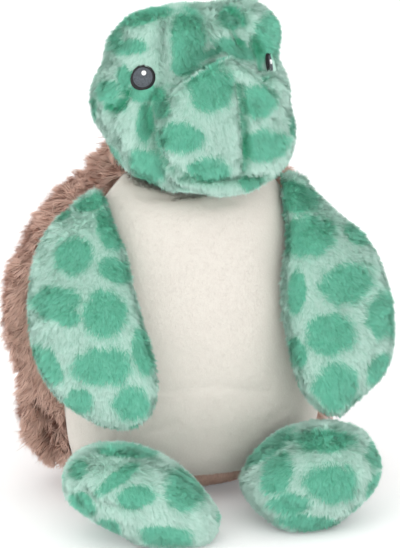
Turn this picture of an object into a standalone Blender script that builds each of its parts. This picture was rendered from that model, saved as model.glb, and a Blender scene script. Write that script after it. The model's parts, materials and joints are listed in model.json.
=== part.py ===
"""A sitting plush turtle: fabric panels over stuffing, with a neck, arms and feet that move.

Metres, +Z up. The turtle faces -Y and sits on the plane z = 0, and the origin is the middle of
its flat seat. Left and right are the turtle's own, so its left side is at +X. Every stuffed unit
is one form: the fabric panels are its skin, parted at the seams, and the stuffing is the same
form inside them.
"""

import math

import bmesh
import bpy
from mathutils import Matrix, Vector
from mathutils.bvhtree import BVHTree

# Fabric and clearances
SKIN = 0.0011
STUFFING_CLEARANCE = 0.0011
SEAM_GAP = 0.0008
SEAM_DIP = 0.0021
PRESS_CLEARANCE = 0.0010
HEAD_CLEARANCE = 0.0055
SOCKET_CLEARANCE = 0.0006

# Body, measured from its side seams: the belly ahead of them and the shell behind
SEAM_AHEAD = 0.022
BELLY_TOP = 0.161
BELLY_HALF_WIDTH = 0.068
BELLY_DEPTH = 0.044
SHELL_TOP = 0.186
SHELL_HALF_WIDTH = 0.091
SHELL_DEPTH = 0.072

# Each row is a ring of the body, from the middle of the seat to the middle of the neck hole:
# front height, back height, seam place, seam half width, belly reach, shell half width,
# place of the shell's greatest width, shell reach. Heights are shares of the two tops, places
# and the shell's reach are shares of SHELL_DEPTH, the rest of their own sizes.
BODY_ROW_SHARES = (
    (0.000, 0.000, 0.31, 0.00, -0.50, 0.00, 0.31, 0.31),
    (0.000, 0.000, 0.29, 0.32, -0.05, 0.26, 0.33, 0.56),
    (0.050, 0.000, 0.15, 0.63, 0.43, 0.51, 0.33, 0.72),
    (0.098, 0.043, 0.04, 0.86, 0.71, 0.75, 0.29, 0.82),
    (0.190, 0.130, 0.00, 0.96, 0.89, 0.89, 0.26, 0.90),
    (0.304, 0.237, 0.00, 1.00, 0.98, 0.95, 0.25, 0.96),
    (0.418, 0.355, 0.00, 1.00, 1.00, 0.98, 0.25, 1.00),
    (0.532, 0.473, 0.00, 0.97, 0.98, 1.00, 0.25, 1.01),
    (0.640, 0.590, 0.00, 0.91, 0.93, 0.99, 0.25, 0.99),
    (0.740, 0.704, 0.00, 0.84, 0.85, 0.90, 0.27, 0.94),
    (0.830, 0.806, 0.01, 0.80, 0.79, 0.77, 0.30, 0.87),
    (0.905, 0.892, 0.02, 0.72, 0.73, 0.64, 0.34, 0.81),
    (0.955, 0.957, 0.04, 0.62, 0.65, 0.51, 0.39, 0.76),
    (0.985, 1.000, 0.08, 0.50, 0.53, 0.41, 0.42, 0.70),
    (0.998, 0.976, 0.12, 0.38, 0.38, 0.33, 0.38, 0.60),
    (1.000, 0.900, 0.15, 0.21, 0.18, 0.20, 0.25, 0.42),
    (1.000, 0.866, 0.17, 0.00, -0.28, 0.00, 0.17, 0.17),
)
BODY_TURNS = 24
BELLY_TURN = math.radians(75)
SEAT_ROW = 3
NECK_ROW = 15

# Neck
NECK_RADIUS = 0.021
NECK_RISE = 0.006
NECK_TURNS = 24
NECK_ROWS = 12

# Bean pouch in the seat
POUCH_HALF_WIDTH = 0.040
POUCH_HALF_DEPTH = 0.026
POUCH_HALF_HEIGHT = 0.020
POUCH_MIDDLE = Vector((0, 0.008, 0.014))
POUCH_BOTTOM = 0.0055
POUCH_CLEARANCE = 0.0005
POUCH_TURNS = 16
POUCH_ROWS = 8

# Head, measured from its own middle
HEAD_RISE = 0.042
HEAD_AHEAD = 0.016
HEAD_ASIDE = 0.003
HEAD_HALF_WIDTH = 0.052
HEAD_UP = 0.0425
HEAD_DOWN = 0.046
HEAD_BACK = 0.047
SNOUT_REACH = 0.045
HEAD_TURN = math.radians(18)
HEAD_ROLL = math.radians(6)
BROW_HEIGHT = 0.012
BROW_WIDTH = 0.010
BROW_SPREAD = 0.0185
BROW_OUT = 0.030
BROW_REACH = 0.001
JAW_SQUARENESS = 0.85

# Each row is a ring of the head, from the mouth to the back of the head: how far forward (a share
# of SNOUT_REACH, behind the middle of HEAD_BACK), half width, height and depth as shares of
# their sizes, measured from the head's middle, the level of the ring's widest place, and how
# peaked its top is (over 1 is a gable, under 1 a box).
HEAD_ROW_SHARES = (
    (1.00, 0.00, -0.70, 0.70, -0.70, 1.0),
    (0.995, 0.22, -0.34, 0.79, -0.62, 1.0),
    (0.965, 0.43, -0.04, 0.86, -0.52, 1.1),
    (0.91, 0.60, 0.21, 0.91, -0.44, 1.2),
    (0.82, 0.70, 0.41, 0.95, -0.38, 1.3),
    (0.69, 0.76, 0.54, 0.98, -0.34, 1.3),
    (0.54, 0.77, 0.62, 0.99, -0.30, 1.3),
    (0.42, 0.76, 0.66, 0.99, -0.26, 1.2),
    (0.27, 0.90, 0.82, 1.00, -0.20, 1.0),
    (0.08, 0.98, 0.93, 1.00, -0.14, 0.9),
    (-0.18, 1.00, 0.97, 1.01, -0.10, 0.85),
    (-0.44, 0.96, 0.94, 0.98, -0.04, 0.9),
    (-0.68, 0.83, 0.80, 0.86, 0.00, 1.0),
    (-0.87, 0.60, 0.58, 0.62, 0.00, 1.0),
    (-0.97, 0.29, 0.28, 0.27, 0.00, 1.0),
    (-1.00, 0.00, 0.00, 0.00, 0.00, 1.0),
)
HEAD_TURNS = 24
SNOUT_ROW = 7
GUSSET_TURN = math.radians(30)
MOUTH_TURN = math.radians(135)

# Eyes, embroidered on the sides of the head
EYE_RADIUS = 0.0054
EYE_OUTLINE = 0.0009
EYE_THICKNESS = 0.0008
EYE_OUT = 0.0382
EYE_REACH = 0.0085
EYE_UP = 0.0125
EYE_DIP = 0.004
EYE_DIP_SPREAD = 0.014
GLINT_RADIUS = 0.0011
GLINT_UP = 0.0022
GLINT_IN = 0.0006
THREAD_GAP = 0.0003
THREAD_LIFT = 0.0008
EYE_TURNS = 20

# Arms
ARM_LENGTH = {"right": 0.120, "left": 0.124}
ARM_HALF_WIDTH = 0.031
ARM_HALF_THICKNESS = 0.0155
ARM_BOW = {"right": 0.0145, "left": 0.0085}
ARM_LIFT = 0.010
ARM_SNUG_SHARE = 0.85
SHOULDER_ROW = 11.5
ARM_FORWARD = {"right": math.radians(29), "left": math.radians(28)}
ARM_OUTWARD = {"right": math.radians(0), "left": math.radians(8)}
ARM_FACING = {"right": math.radians(30), "left": math.radians(14)}

# Rows of an arm from the shoulder to the tip: place along the arm, width, thickness, outward
# bow, lift off the belly
ARM_ROW_SHARES = (
    (0.00, 0.00, 0.00, 0.00, 0.00),
    (0.02, 0.24, 0.32, 0.06, 0.10),
    (0.08, 0.47, 0.50, 0.28, 0.40),
    (0.18, 0.71, 0.70, 0.64, 0.75),
    (0.31, 0.87, 0.86, 0.95, 0.95),
    (0.46, 0.96, 0.98, 1.00, 1.00),
    (0.61, 1.00, 1.00, 0.92, 1.00),
    (0.76, 0.94, 0.94, 0.68, 0.90),
    (0.89, 0.70, 0.70, 0.32, 0.75),
    (0.97, 0.38, 0.38, 0.09, 0.65),
    (1.00, 0.00, 0.00, 0.00, 0.60),
)
LIMB_TURNS = 16

# Legs, each a short thick foot whose sole faces forward
LEG_LENGTH = {"right": 0.077, "left": 0.071}
FOOT_HALF_WIDTH = {"right": 0.042, "left": 0.039}
FOOT_HALF_HEIGHT = 0.0255
HIP_TURN = math.radians(39)
HIP_ROW = 3.6
HIP_FOLD_ROW = 2
LEG_OUTWARD = {"right": math.radians(2), "left": math.radians(-5)}
FOOT_ROLL = {"right": math.radians(-27), "left": math.radians(-18)}
FOOT_RISE = {"right": 0.0205, "left": 0.0225}

# Rows of a leg from the hip to the sole: place along the leg, width, height
LEG_ROW_SHARES = (
    (0.00, 0.00, 0.00),
    (0.03, 0.32, 0.34),
    (0.13, 0.57, 0.60),
    (0.28, 0.78, 0.80),
    (0.45, 0.92, 0.94),
    (0.61, 1.00, 1.00),
    (0.75, 0.98, 0.98),
    (0.87, 0.83, 0.82),
    (0.95, 0.58, 0.57),
    (0.99, 0.29, 0.28),
    (1.00, 0.00, 0.00),
)
SOLE_ROW = 6

COLOURS = {
    "cream_plush": (0.83, 0.78, 0.69, 0.95),
    "brown_plush": (0.50, 0.30, 0.24, 0.95),
    "green_plush": (0.24, 0.60, 0.44, 0.95),
    "stuffing": (0.90, 0.90, 0.88, 1.0),
    "bean_pouch": (0.70, 0.70, 0.68, 0.9),
    "grey_thread": (0.09, 0.09, 0.10, 0.6),
    "black_thread": (0.02, 0.02, 0.02, 0.6),
    "white_thread": (0.90, 0.90, 0.90, 0.5),
}

SIDES = {"right": -1, "left": 1}
HEAD_PANELS = ("snout_right", "snout_left", "chin_panel", "forehead_gusset", "head_side_right", "head_side_left")
EYE_THREADS = ("eye_", "eye_outline_", "eye_glint_")


def clear_scene():
    for obj in list(bpy.data.objects):
        bpy.data.objects.remove(obj, do_unlink=True)


def material(name):
    made = bpy.data.materials.get(name)
    if made is None:
        made = bpy.data.materials.new(name)
        made.use_nodes = True
        red, green, blue, roughness = COLOURS[name]
        shader = made.node_tree.nodes["Principled BSDF"]
        shader.inputs["Base Color"].default_value = (red, green, blue, 1)
        shader.inputs["Roughness"].default_value = roughness
        shader.inputs["Metallic"].default_value = 0
    return made


def smooth_row(rows, place):
    """The values at a place between equally spaced rows, on a smooth curve through them."""
    last = len(rows) - 1
    start = min(max(int(place), 0), last - 1)
    f = place - start
    near = [rows[min(max(start + step, 0), last)] for step in (-1, 0, 1, 2)]
    return [
        (2 * b + (c - a) * f + (2 * a - 5 * b + 4 * c - d) * f**2 + (3 * b - a - 3 * c + d) * f**3) / 2
        for a, b, c, d in zip(*near)
    ]


def turn_of(point):
    """The angle round a sphere's axis, from its -Y side towards +X."""
    return math.atan2(point.x, -point.y)


def new_form(turns, rows, place):
    """A closed form: a sphere whose points go where place(turn, row) says."""
    form = bmesh.new()
    bmesh.ops.create_uvsphere(form, u_segments=turns, v_segments=rows, radius=1)
    turn = form.faces.layers.float.new("turn")
    row = form.faces.layers.float.new("row")

    def row_of(point):
        return rows * (0.5 + math.asin(max(-1, min(1, point.z))) / math.pi)

    for face in form.faces:
        middle = face.calc_center_median()
        face[turn] = turn_of(middle)
        levels = [row_of(vert.co) for vert in face.verts]
        face[row] = (min(levels) + max(levels)) / 2
    for vert in form.verts:
        vert.co = place(turn_of(vert.co), row_of(vert.co))
    form.normal_update()
    return form


def tree_of(form):
    return BVHTree.FromBMesh(form)


def resting(point, reach, tree):
    """A point moved off a surface until it is its reach away from it."""
    spot, normal, _, _ = tree.find_nearest(point)
    return point + normal * max(0, reach - (point - spot).dot(normal))


def press(form, tree, clearance):
    """Moves the points of a soft form that lie in another form out to clear its surface."""
    for vert in form.verts:
        vert.co = resting(vert.co, clearance, tree)
    form.normal_update()


def stand_on_floor(form):
    for vert in form.verts:
        vert.co.z = max(vert.co.z, 0)
    form.normal_update()


def dip_seams(form, rule):
    """Draws in the points where panels meet. rule gives each face's panel."""
    turn = form.faces.layers.float["turn"]
    row = form.faces.layers.float["row"]
    form.normal_update()
    moves = []
    for vert in form.verts:
        panels = {rule(face[turn], face[row]) for face in vert.link_faces}
        if len(panels) > 1 and vert.co.z > SEAM_DIP:
            moves.append((vert, vert.normal * SEAM_DIP))
    for vert, move in moves:
        vert.co -= move
    form.normal_update()


def add_object(name, form, look):
    mesh = bpy.data.meshes.new(name)
    form.to_mesh(mesh)
    form.free()
    mesh.shade_smooth()
    obj = bpy.data.objects.new(name, mesh)
    obj.data.materials.append(material(look))
    parts.objects.link(obj)
    return obj


def hang(names, pivot_name, place):
    """Hangs objects, where they are, on an empty that stands on their joint's axis."""
    pivot = bpy.data.objects.new(pivot_name, None)
    pivot.location = place
    parts.objects.link(pivot)
    for name in names:
        obj = bpy.data.objects[name]
        obj.parent = pivot
        obj.matrix_parent_inverse = Matrix.Translation(-place)


def add_panel(name, form, rule, look):
    """The fabric panel of a form: its faces whose rule gives this name, parted at the seams."""
    panel = form.copy()
    turn = panel.faces.layers.float["turn"]
    row = panel.faces.layers.float["row"]
    others = [face for face in panel.faces if rule(face[turn], face[row]) != name]
    bmesh.ops.delete(panel, geom=others, context="FACES")
    ring = bmesh.ops.inset_region(
        panel, faces=panel.faces[:], thickness=SEAM_GAP / 2, use_boundary=True, use_even_offset=False
    )
    bmesh.ops.delete(panel, geom=ring["faces"], context="FACES")
    obj = add_object(name, panel, look)
    thicken = obj.modifiers.new("Fabric", "SOLIDIFY")
    thicken.thickness = SKIN
    thicken.offset = -1
    return obj


def add_stuffing(name, form):
    """The stuffing of a form: the form moved in by the fabric and a clearance."""
    core = form.copy()
    core.normal_update()
    moves = [vert.normal * (SKIN + STUFFING_CLEARANCE) for vert in core.verts]
    for vert, move in zip(core.verts, moves):
        vert.co -= move
    return add_object(name, core, "stuffing")


def ball(turns, rows, radius, centre):
    form = bmesh.new()
    bmesh.ops.create_uvsphere(
        form, u_segments=turns, v_segments=rows, radius=radius, matrix=Matrix.Translation(centre)
    )
    return form


def add_cutter(name, form):
    mesh = bpy.data.meshes.new(name)
    form.to_mesh(mesh)
    form.free()
    cutter = bpy.data.objects.new(name, mesh)
    cutter.hide_render = True
    cutter.display_type = "WIRE"
    cutters.objects.link(cutter)
    return cutter


def cut(obj, cutter):
    boolean = obj.modifiers.new("Cut", "BOOLEAN")
    boolean.operation = "DIFFERENCE"
    boolean.object = cutter
    boolean.solver = "EXACT"


def body_place(turn, row):
    """A point of the body's form. turn is 0 at the belly's middle and pi at the back."""
    front, back, seam, seam_out, belly, shell_out, wide, shell = smooth_row(BODY_ROW_SHARES, row)
    seam_y = seam * SHELL_DEPTH
    seam_x = seam_out * BELLY_HALF_WIDTH
    height = BELLY_TOP * front + (SHELL_TOP * back - BELLY_TOP * front) * (1 - math.cos(turn)) / 2
    side = math.copysign(1, turn)
    share = abs(turn) / BELLY_TURN
    if share <= 1:
        reach = seam_y + belly * BELLY_DEPTH
        angle = share * math.pi / 2
        x = side * seam_x * math.sin(angle)
        y = seam_y - reach * math.cos(angle)
    else:
        share = (abs(turn) - BELLY_TURN) / (math.pi - BELLY_TURN)
        shell_x = max(shell_out * SHELL_HALF_WIDTH, seam_x)
        wide_y = wide * SHELL_DEPTH
        start = math.asin(seam_x / shell_x) if shell_x > 0 else math.pi / 2
        angle = start + share * (math.pi - start)
        x = side * shell_x * math.sin(angle)
        if angle < math.pi / 2:
            y = wide_y - (wide_y - seam_y) * math.cos(angle) / math.cos(start)
        else:
            y = wide_y - (shell * SHELL_DEPTH - wide_y) * math.cos(angle)
    return Vector((x, y - SEAM_AHEAD, max(height, 0)))


def body_panel(turn, row):
    if row < SEAT_ROW:
        return "seat_panel"
    if row > NECK_ROW:
        return None
    if abs(turn) < BELLY_TURN:
        return "belly_panel"
    return "shell_left" if turn > 0 else "shell_right"


def head_place(turn, row):
    """A point of the head's form in the head's own frame. turn is 0 at the top."""
    reach, width, up, down, level, peak = smooth_row(HEAD_ROW_SHARES, row)
    middle = level * HEAD_DOWN
    x = width * HEAD_HALF_WIDTH * math.sin(turn)
    y = -reach * (SNOUT_REACH if reach > 0 else HEAD_BACK)
    top = up * HEAD_UP - middle
    bottom = down * HEAD_DOWN + middle
    upward = math.cos(turn)
    z = middle + (top * upward**peak if upward > 0 else -bottom * abs(upward) ** JAW_SQUARENESS)
    brow = math.exp(-((abs(x) - BROW_OUT) ** 2 + (y + BROW_REACH) ** 2) / BROW_SPREAD**2)
    dip = math.exp(-((y + EYE_REACH) ** 2 + (z - EYE_UP) ** 2) / EYE_DIP_SPREAD**2)
    outward = math.copysign(1, x)
    x -= outward * min(EYE_DIP * dip, abs(x))
    if z > 0:
        brow *= z / HEAD_UP
        x += outward * BROW_WIDTH * brow
        z += BROW_HEIGHT * brow
    return Vector((x, y, z))


def head_panel(turn, row):
    side = "left" if turn > 0 else "right"
    if row < SNOUT_ROW:
        return "chin_panel" if abs(turn) > MOUTH_TURN else "snout_" + side
    return "forehead_gusset" if abs(turn) < GUSSET_TURN else "head_side_" + side


def limb_form(rows, start, along, facing, size, bends, tree):
    """A stuffed limb that goes from start along a line and rests on the surface of tree.

    size is its length, half width and half thickness. Each vector of bends is what the line's
    middle moves by, times the row's own share.
    """
    length, half_width, half_thickness = size
    across = along.cross(facing).normalized()
    front = across.cross(along).normalized()

    def place(turn, row):
        step, width, thick, *shares = smooth_row(rows, row)
        middle = start + along * (step * length)
        for bend, share in zip(bends, shares):
            middle = middle + bend * share
        if bends:
            normal = tree.find_nearest(middle)[1]
            reach = math.hypot(
                width * half_width * across.dot(normal), thick * half_thickness * front.dot(normal)
            )
            middle = resting(middle, ARM_SNUG_SHARE * reach + PRESS_CLEARANCE, tree)
        return (
            middle
            + across * (width * half_width * math.sin(turn))
            + front * (thick * half_thickness * math.cos(turn))
        )

    form = new_form(LIMB_TURNS, len(rows) - 1, place)
    press(form, tree, PRESS_CLEARANCE)
    return form


def build_body(neck_cutter):
    form = new_form(BODY_TURNS, len(BODY_ROW_SHARES) - 1, body_place)
    outline = tree_of(form)
    dip_seams(form, body_panel)
    for name, look in (
        ("belly_panel", "cream_plush"),
        ("seat_panel", "brown_plush"),
        ("shell_right", "brown_plush"),
        ("shell_left", "brown_plush"),
    ):
        panel = add_panel(name, form, body_panel, look)
        if name != "seat_panel":
            cut(panel, neck_cutter)
    core = add_stuffing("body_stuffing", form)
    cut(core, neck_cutter)
    form.free()
    return outline, core


def pouch_form(clearance, bottom):
    """A cushion with a flat bottom: an ellipsoid in the seat, level below its bottom."""
    form = ball(POUCH_TURNS, POUCH_ROWS, 1, Vector())
    size = Vector((POUCH_HALF_WIDTH, POUCH_HALF_DEPTH, POUCH_HALF_HEIGHT))
    for vert in form.verts:
        vert.co = POUCH_MIDDLE + vert.co * size + vert.co * clearance
        vert.co.z = max(vert.co.z, bottom)
    form.normal_update()
    return form


def build_pouch(core):
    """The bean pouch lies on the seat, in a pocket cut in the bottom of the body stuffing."""
    add_object("bean_pouch", pouch_form(0, POUCH_BOTTOM), "bean_pouch")
    cut(core, add_cutter("pouch_pocket_cutter", pouch_form(POUCH_CLEARANCE, 0)))


def build_neck(centre):
    add_object("neck_plug", ball(NECK_TURNS, NECK_ROWS, NECK_RADIUS, centre), "green_plush")
    hang(["neck_plug"], "neck_pivot", centre)


def build_head(frame, neck_cutter, body_outline):
    form = new_form(HEAD_TURNS, len(HEAD_ROW_SHARES) - 1, head_place)
    form.transform(frame)
    press(form, body_outline, HEAD_CLEARANCE)
    outline = tree_of(form)
    dip_seams(form, head_panel)
    for name in HEAD_PANELS:
        panel = add_panel(name, form, head_panel, "green_plush")
        if name.startswith("head_side"):
            cut(panel, neck_cutter)
    cut(add_stuffing("head_stuffing", form), neck_cutter)
    form.free()
    return outline


def thread_patch(name, outline, spot, out, up, inner, outer, lift, look):
    """An embroidered disc or ring that follows the surface of the head round spot."""
    across = up.cross(out).normalized()
    up = out.cross(across).normalized()
    patch = bmesh.new()
    if inner > 0:
        bmesh.ops.create_circle(patch, segments=EYE_TURNS, radius=outer)
        rim = patch.edges[:]
        made = bmesh.ops.extrude_edge_only(patch, edges=rim)["geom"]
        moved = [item for item in made if isinstance(item, bmesh.types.BMVert)]
        bmesh.ops.scale(patch, vec=Vector((1, 1, 1)) * (inner / outer), verts=moved)
    else:
        bmesh.ops.create_circle(patch, segments=EYE_TURNS, radius=outer, cap_ends=True, cap_tris=True)
    for vert in patch.verts:
        start = spot + across * vert.co.x + up * vert.co.y + out * outer
        hit, _, _, _ = outline.ray_cast(start, -out)
        vert.co = (hit or start) + out * lift
    patch.normal_update()
    if sum(face.normal.dot(out) for face in patch.faces) < 0:
        bmesh.ops.reverse_faces(patch, faces=patch.faces[:])
    obj = add_object(name, patch, look)
    thicken = obj.modifiers.new("Thread", "SOLIDIFY")
    thicken.thickness = EYE_THICKNESS
    thicken.offset = 1
    return obj


def build_eye(side, frame, outline):
    sign = SIDES[side]
    guess = frame @ Vector((sign * EYE_OUT, -EYE_REACH, EYE_UP))
    spot, out, _, _ = outline.find_nearest(guess)
    up = frame.to_3x3() @ Vector((0, 0, 1))
    across = up.cross(out).normalized()
    up = out.cross(across).normalized()
    glint = spot + up * GLINT_UP + across * (sign * GLINT_IN)
    ring = EYE_RADIUS + THREAD_GAP
    thread_patch("eye_" + side, outline, spot, out, up, 0, EYE_RADIUS, THREAD_LIFT, "grey_thread")
    thread_patch(
        "eye_outline_" + side, outline, spot, out, up, ring, ring + EYE_OUTLINE, THREAD_LIFT, "black_thread"
    )
    above = THREAD_LIFT + EYE_THICKNESS + THREAD_GAP
    thread_patch("eye_glint_" + side, outline, glint, out, up, 0, GLINT_RADIUS, above, "white_thread")


def build_arm(side, body_outline):
    sign = SIDES[side]
    root = body_place(sign * BELLY_TURN, SHOULDER_ROW)
    swing = Matrix.Rotation(-sign * ARM_OUTWARD[side], 3, "Y") @ Matrix.Rotation(-ARM_FORWARD[side], 3, "X")
    along = swing @ Vector((0, 0, -1))
    facing = Matrix.Rotation(sign * ARM_FACING[side], 3, "Z") @ Vector((0, -1, 0))
    size = (ARM_LENGTH[side], ARM_HALF_WIDTH, ARM_HALF_THICKNESS)
    bends = (Vector((sign * ARM_BOW[side], 0, 0)), facing * ARM_LIFT)
    form = limb_form(ARM_ROW_SHARES, root, along, facing, size, bends, body_outline)
    front, back = "arm_front_" + side, "arm_back_" + side

    def panel_at(turn, row):
        return front if abs(turn) < math.pi / 2 else back

    dip_seams(form, panel_at)
    add_panel(front, form, panel_at, "green_plush")
    add_panel(back, form, panel_at, "green_plush")
    core = "arm_stuffing_" + side
    add_stuffing(core, form)
    form.free()
    hang([front, back, core], "arm_pivot_" + side, root)


def build_leg(side, body_outline):
    sign = SIDES[side]
    root = body_place(sign * HIP_TURN, HIP_ROW)
    root.z = FOOT_RISE[side]
    along = Matrix.Rotation(sign * LEG_OUTWARD[side], 3, "Z") @ Vector((0, -1, 0))
    facing = Matrix.Rotation(sign * FOOT_ROLL[side], 3, "Y") @ Vector((0, 0, 1))
    size = (LEG_LENGTH[side], FOOT_HALF_WIDTH[side], FOOT_HALF_HEIGHT)
    form = limb_form(LEG_ROW_SHARES, root, along, facing, size, (), body_outline)
    stand_on_floor(form)
    sole, upper = "foot_sole_" + side, "foot_upper_" + side

    def panel_at(turn, row):
        return sole if row > SOLE_ROW else upper

    dip_seams(form, panel_at)
    add_panel(sole, form, panel_at, "green_plush")
    add_panel(upper, form, panel_at, "green_plush")
    core = "foot_stuffing_" + side
    add_stuffing(core, form)
    form.free()
    hang([sole, upper, core], "leg_pivot_" + side, body_place(sign * HIP_TURN, HIP_FOLD_ROW))


clear_scene()
parts = bpy.data.collections.new("plush_turtle")
cutters = bpy.data.collections.new("cutters")
bpy.context.scene.collection.children.link(parts)
bpy.context.scene.collection.children.link(cutters)

neck_centre = body_place(0, len(BODY_ROW_SHARES) - 1) + Vector((0, 0, NECK_RISE))
neck_cutter = add_cutter(
    "neck_socket_cutter", ball(NECK_TURNS, NECK_ROWS, NECK_RADIUS + SOCKET_CLEARANCE, neck_centre)
)

body_outline, body_core = build_body(neck_cutter)
build_pouch(body_core)
build_neck(neck_centre)
head_frame = (
    Matrix.Translation(neck_centre + Vector((HEAD_ASIDE, -HEAD_AHEAD, HEAD_RISE)))
    @ Matrix.Rotation(HEAD_TURN, 4, "Z")
    @ Matrix.Rotation(HEAD_ROLL, 4, "Y")
)
head_outline = build_head(head_frame, neck_cutter, body_outline)
for side in SIDES:
    build_eye(side, head_frame, head_outline)
    build_arm(side, body_outline)
    build_leg(side, body_outline)
eyes = [thread + side for thread in EYE_THREADS for side in SIDES]
hang([*HEAD_PANELS, "head_stuffing", *eyes], "head_pivot", neck_centre)
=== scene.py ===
# %% [markdown]
# # A sitting plush turtle
# A stuffed toy is sewn from flat panels of pile fabric and filled until it is round. The CAD
# frame gives its bodies and joints. This notebook dresses it: a fine form for each stuffed unit,
# panels of fabric on it that meet in drawn-in seams, and the pile itself as many thin blades of
# mesh, so that the outline is soft from every side.

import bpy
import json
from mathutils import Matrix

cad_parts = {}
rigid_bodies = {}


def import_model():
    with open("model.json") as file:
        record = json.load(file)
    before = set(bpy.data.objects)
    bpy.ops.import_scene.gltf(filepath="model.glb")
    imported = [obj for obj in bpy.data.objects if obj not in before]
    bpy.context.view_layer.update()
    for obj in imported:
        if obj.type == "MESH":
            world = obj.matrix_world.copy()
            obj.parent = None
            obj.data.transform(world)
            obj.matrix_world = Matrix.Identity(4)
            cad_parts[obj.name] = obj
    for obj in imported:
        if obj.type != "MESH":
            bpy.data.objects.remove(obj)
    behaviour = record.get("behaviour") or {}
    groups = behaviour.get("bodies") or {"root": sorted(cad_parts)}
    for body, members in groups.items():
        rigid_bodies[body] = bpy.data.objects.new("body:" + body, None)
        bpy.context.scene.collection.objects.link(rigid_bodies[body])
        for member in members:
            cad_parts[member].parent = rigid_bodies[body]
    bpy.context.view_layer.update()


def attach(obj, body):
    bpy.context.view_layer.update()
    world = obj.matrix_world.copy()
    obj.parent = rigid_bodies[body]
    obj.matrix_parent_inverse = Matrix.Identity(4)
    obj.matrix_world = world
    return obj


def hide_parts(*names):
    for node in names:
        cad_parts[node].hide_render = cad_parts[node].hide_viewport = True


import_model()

# %% Modules and units
import json
import math

import bmesh
import bpy
import numpy as np
from mathutils import Matrix, Vector
from mathutils.bvhtree import BVHTree
from mathutils.kdtree import KDTree

MM = 0.001
collection = bpy.context.scene.collection

# %% [markdown]
# ## Camera
# The photograph was taken from the toy's right and a little above, with a long lens. Half a
# millimetre of the toy covers one pixel, and the pixel below marks the middle of the seams at
# the floor. One function gives the place of any pixel in the picture's plane, and it serves for
# the camera and later for the spots.

# %% The picture's plane
PICTURE_WIDTH, PICTURE_HEIGHT = 400, 548
PIXEL = 0.5 * MM
ORIGIN_PIXEL = (189.0, 486.5)
SEAM_AHEAD = 22 * MM
VIEW_TURN = math.radians(-17)
VIEW_RISE = math.radians(18)
VIEW_DISTANCE = 8.0
SENSOR = 36.0
across_view = Vector((math.cos(VIEW_TURN), math.sin(VIEW_TURN), 0))
up_view = Vector(
    (-math.sin(VIEW_TURN) * math.sin(VIEW_RISE), math.cos(VIEW_TURN) * math.sin(VIEW_RISE), math.cos(VIEW_RISE))
)
into_view = up_view.cross(across_view)


def picture_point(x, y):
    """The point of the picture's plane, through the side seams at the floor, at a pixel."""
    right = (x - ORIGIN_PIXEL[0]) * PIXEL
    up = (ORIGIN_PIXEL[1] - y) * PIXEL
    return Vector((0, -SEAM_AHEAD, 0)) + across_view * right + up_view * up


# %% The camera
camera = bpy.data.objects.new("camera", bpy.data.cameras.new("camera"))
collection.objects.link(camera)
target = picture_point(PICTURE_WIDTH / 2, PICTURE_HEIGHT / 2)
camera.location = target - into_view * VIEW_DISTANCE
camera.rotation_mode = "QUATERNION"
camera.rotation_quaternion = into_view.to_track_quat("-Z", "Y")
camera.data.sensor_width = SENSOR
camera.data.lens = SENSOR * VIEW_DISTANCE / (PICTURE_HEIGHT * PIXEL)
camera.data.clip_end = 100
bpy.context.scene.camera = camera
print(f"camera: lens {camera.data.lens:.0f} mm, {VIEW_DISTANCE} m away")

# %% [markdown]
# ## Materials
# Plush is a knitted backing with polyester pile. The pile scatters light, so it has no gloss and
# a pale rim, which is what Sheen gives. The mint pile is printed with darker spots whose edges
# are feathered, because the print breaks up between the fibres: each mesh carries how dark it is
# at each point, and the material mixes the two colours by it.
# Each mesh also carries a painted shade, deepest at the roots of the pile, between its locks and in pinched seams, and
# the material darkens its colour by it.


# %% Helpers for materials
def linear(code):
    """A linear colour from an sRGB hex code."""
    shares = [int(code[place : place + 2], 16) / 255 for place in (1, 3, 5)]
    return [c / 12.92 if c <= 0.04045 else ((c + 0.055) / 1.055) ** 2.4 for c in shares] + [1]


def node(tree, kind, settings=None, inputs=None):
    """Adds a node, sets its properties, and sets or links its inputs."""
    added = tree.nodes.new(kind)
    for name, value in (settings or {}).items():
        setattr(added, name, value)
    for name, value in (inputs or {}).items():
        if isinstance(value, bpy.types.NodeSocket):
            tree.links.new(value, added.inputs[name])
        else:
            added.inputs[name].default_value = value
    return added


def mix(tree, share, first, second):
    mixed = node(tree, "ShaderNodeMix", {"data_type": "RGBA"}, {0: share, 6: first, 7: second})
    return mixed.outputs[2]


def new_material(name, roughness, sheen):
    made = bpy.data.materials.new(name)
    made.use_nodes = True
    shader = made.node_tree.nodes["Principled BSDF"]
    shader.inputs["Roughness"].default_value = roughness
    shader.inputs["Specular IOR Level"].default_value = 0.2
    shader.inputs["Sheen Weight"].default_value = sheen
    shader.inputs["Sheen Roughness"].default_value = 0.6
    return made, made.node_tree, shader


def position(tree):
    return tree.nodes.new("ShaderNodeTexCoord").outputs["Object"]


def noise(tree, size, detail=2.0):
    """Noise whose cells are about size across, in metres."""
    added = node(tree, "ShaderNodeTexNoise", {}, {"Vector": position(tree), "Scale": 1 / size, "Detail": detail})
    return added.outputs["Fac"]


def bump(tree, shader, height, depth):
    added = node(tree, "ShaderNodeBump", {}, {"Strength": 1.0, "Distance": depth, "Height": height})
    tree.links.new(added.outputs["Normal"], shader.inputs["Normal"])


# %% Plush materials
TUFT = 5 * MM  # pile fibres cling together in tufts about this wide
FIBRE = 0.9 * MM  # real fibres are finer, but this is the least that shows


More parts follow.
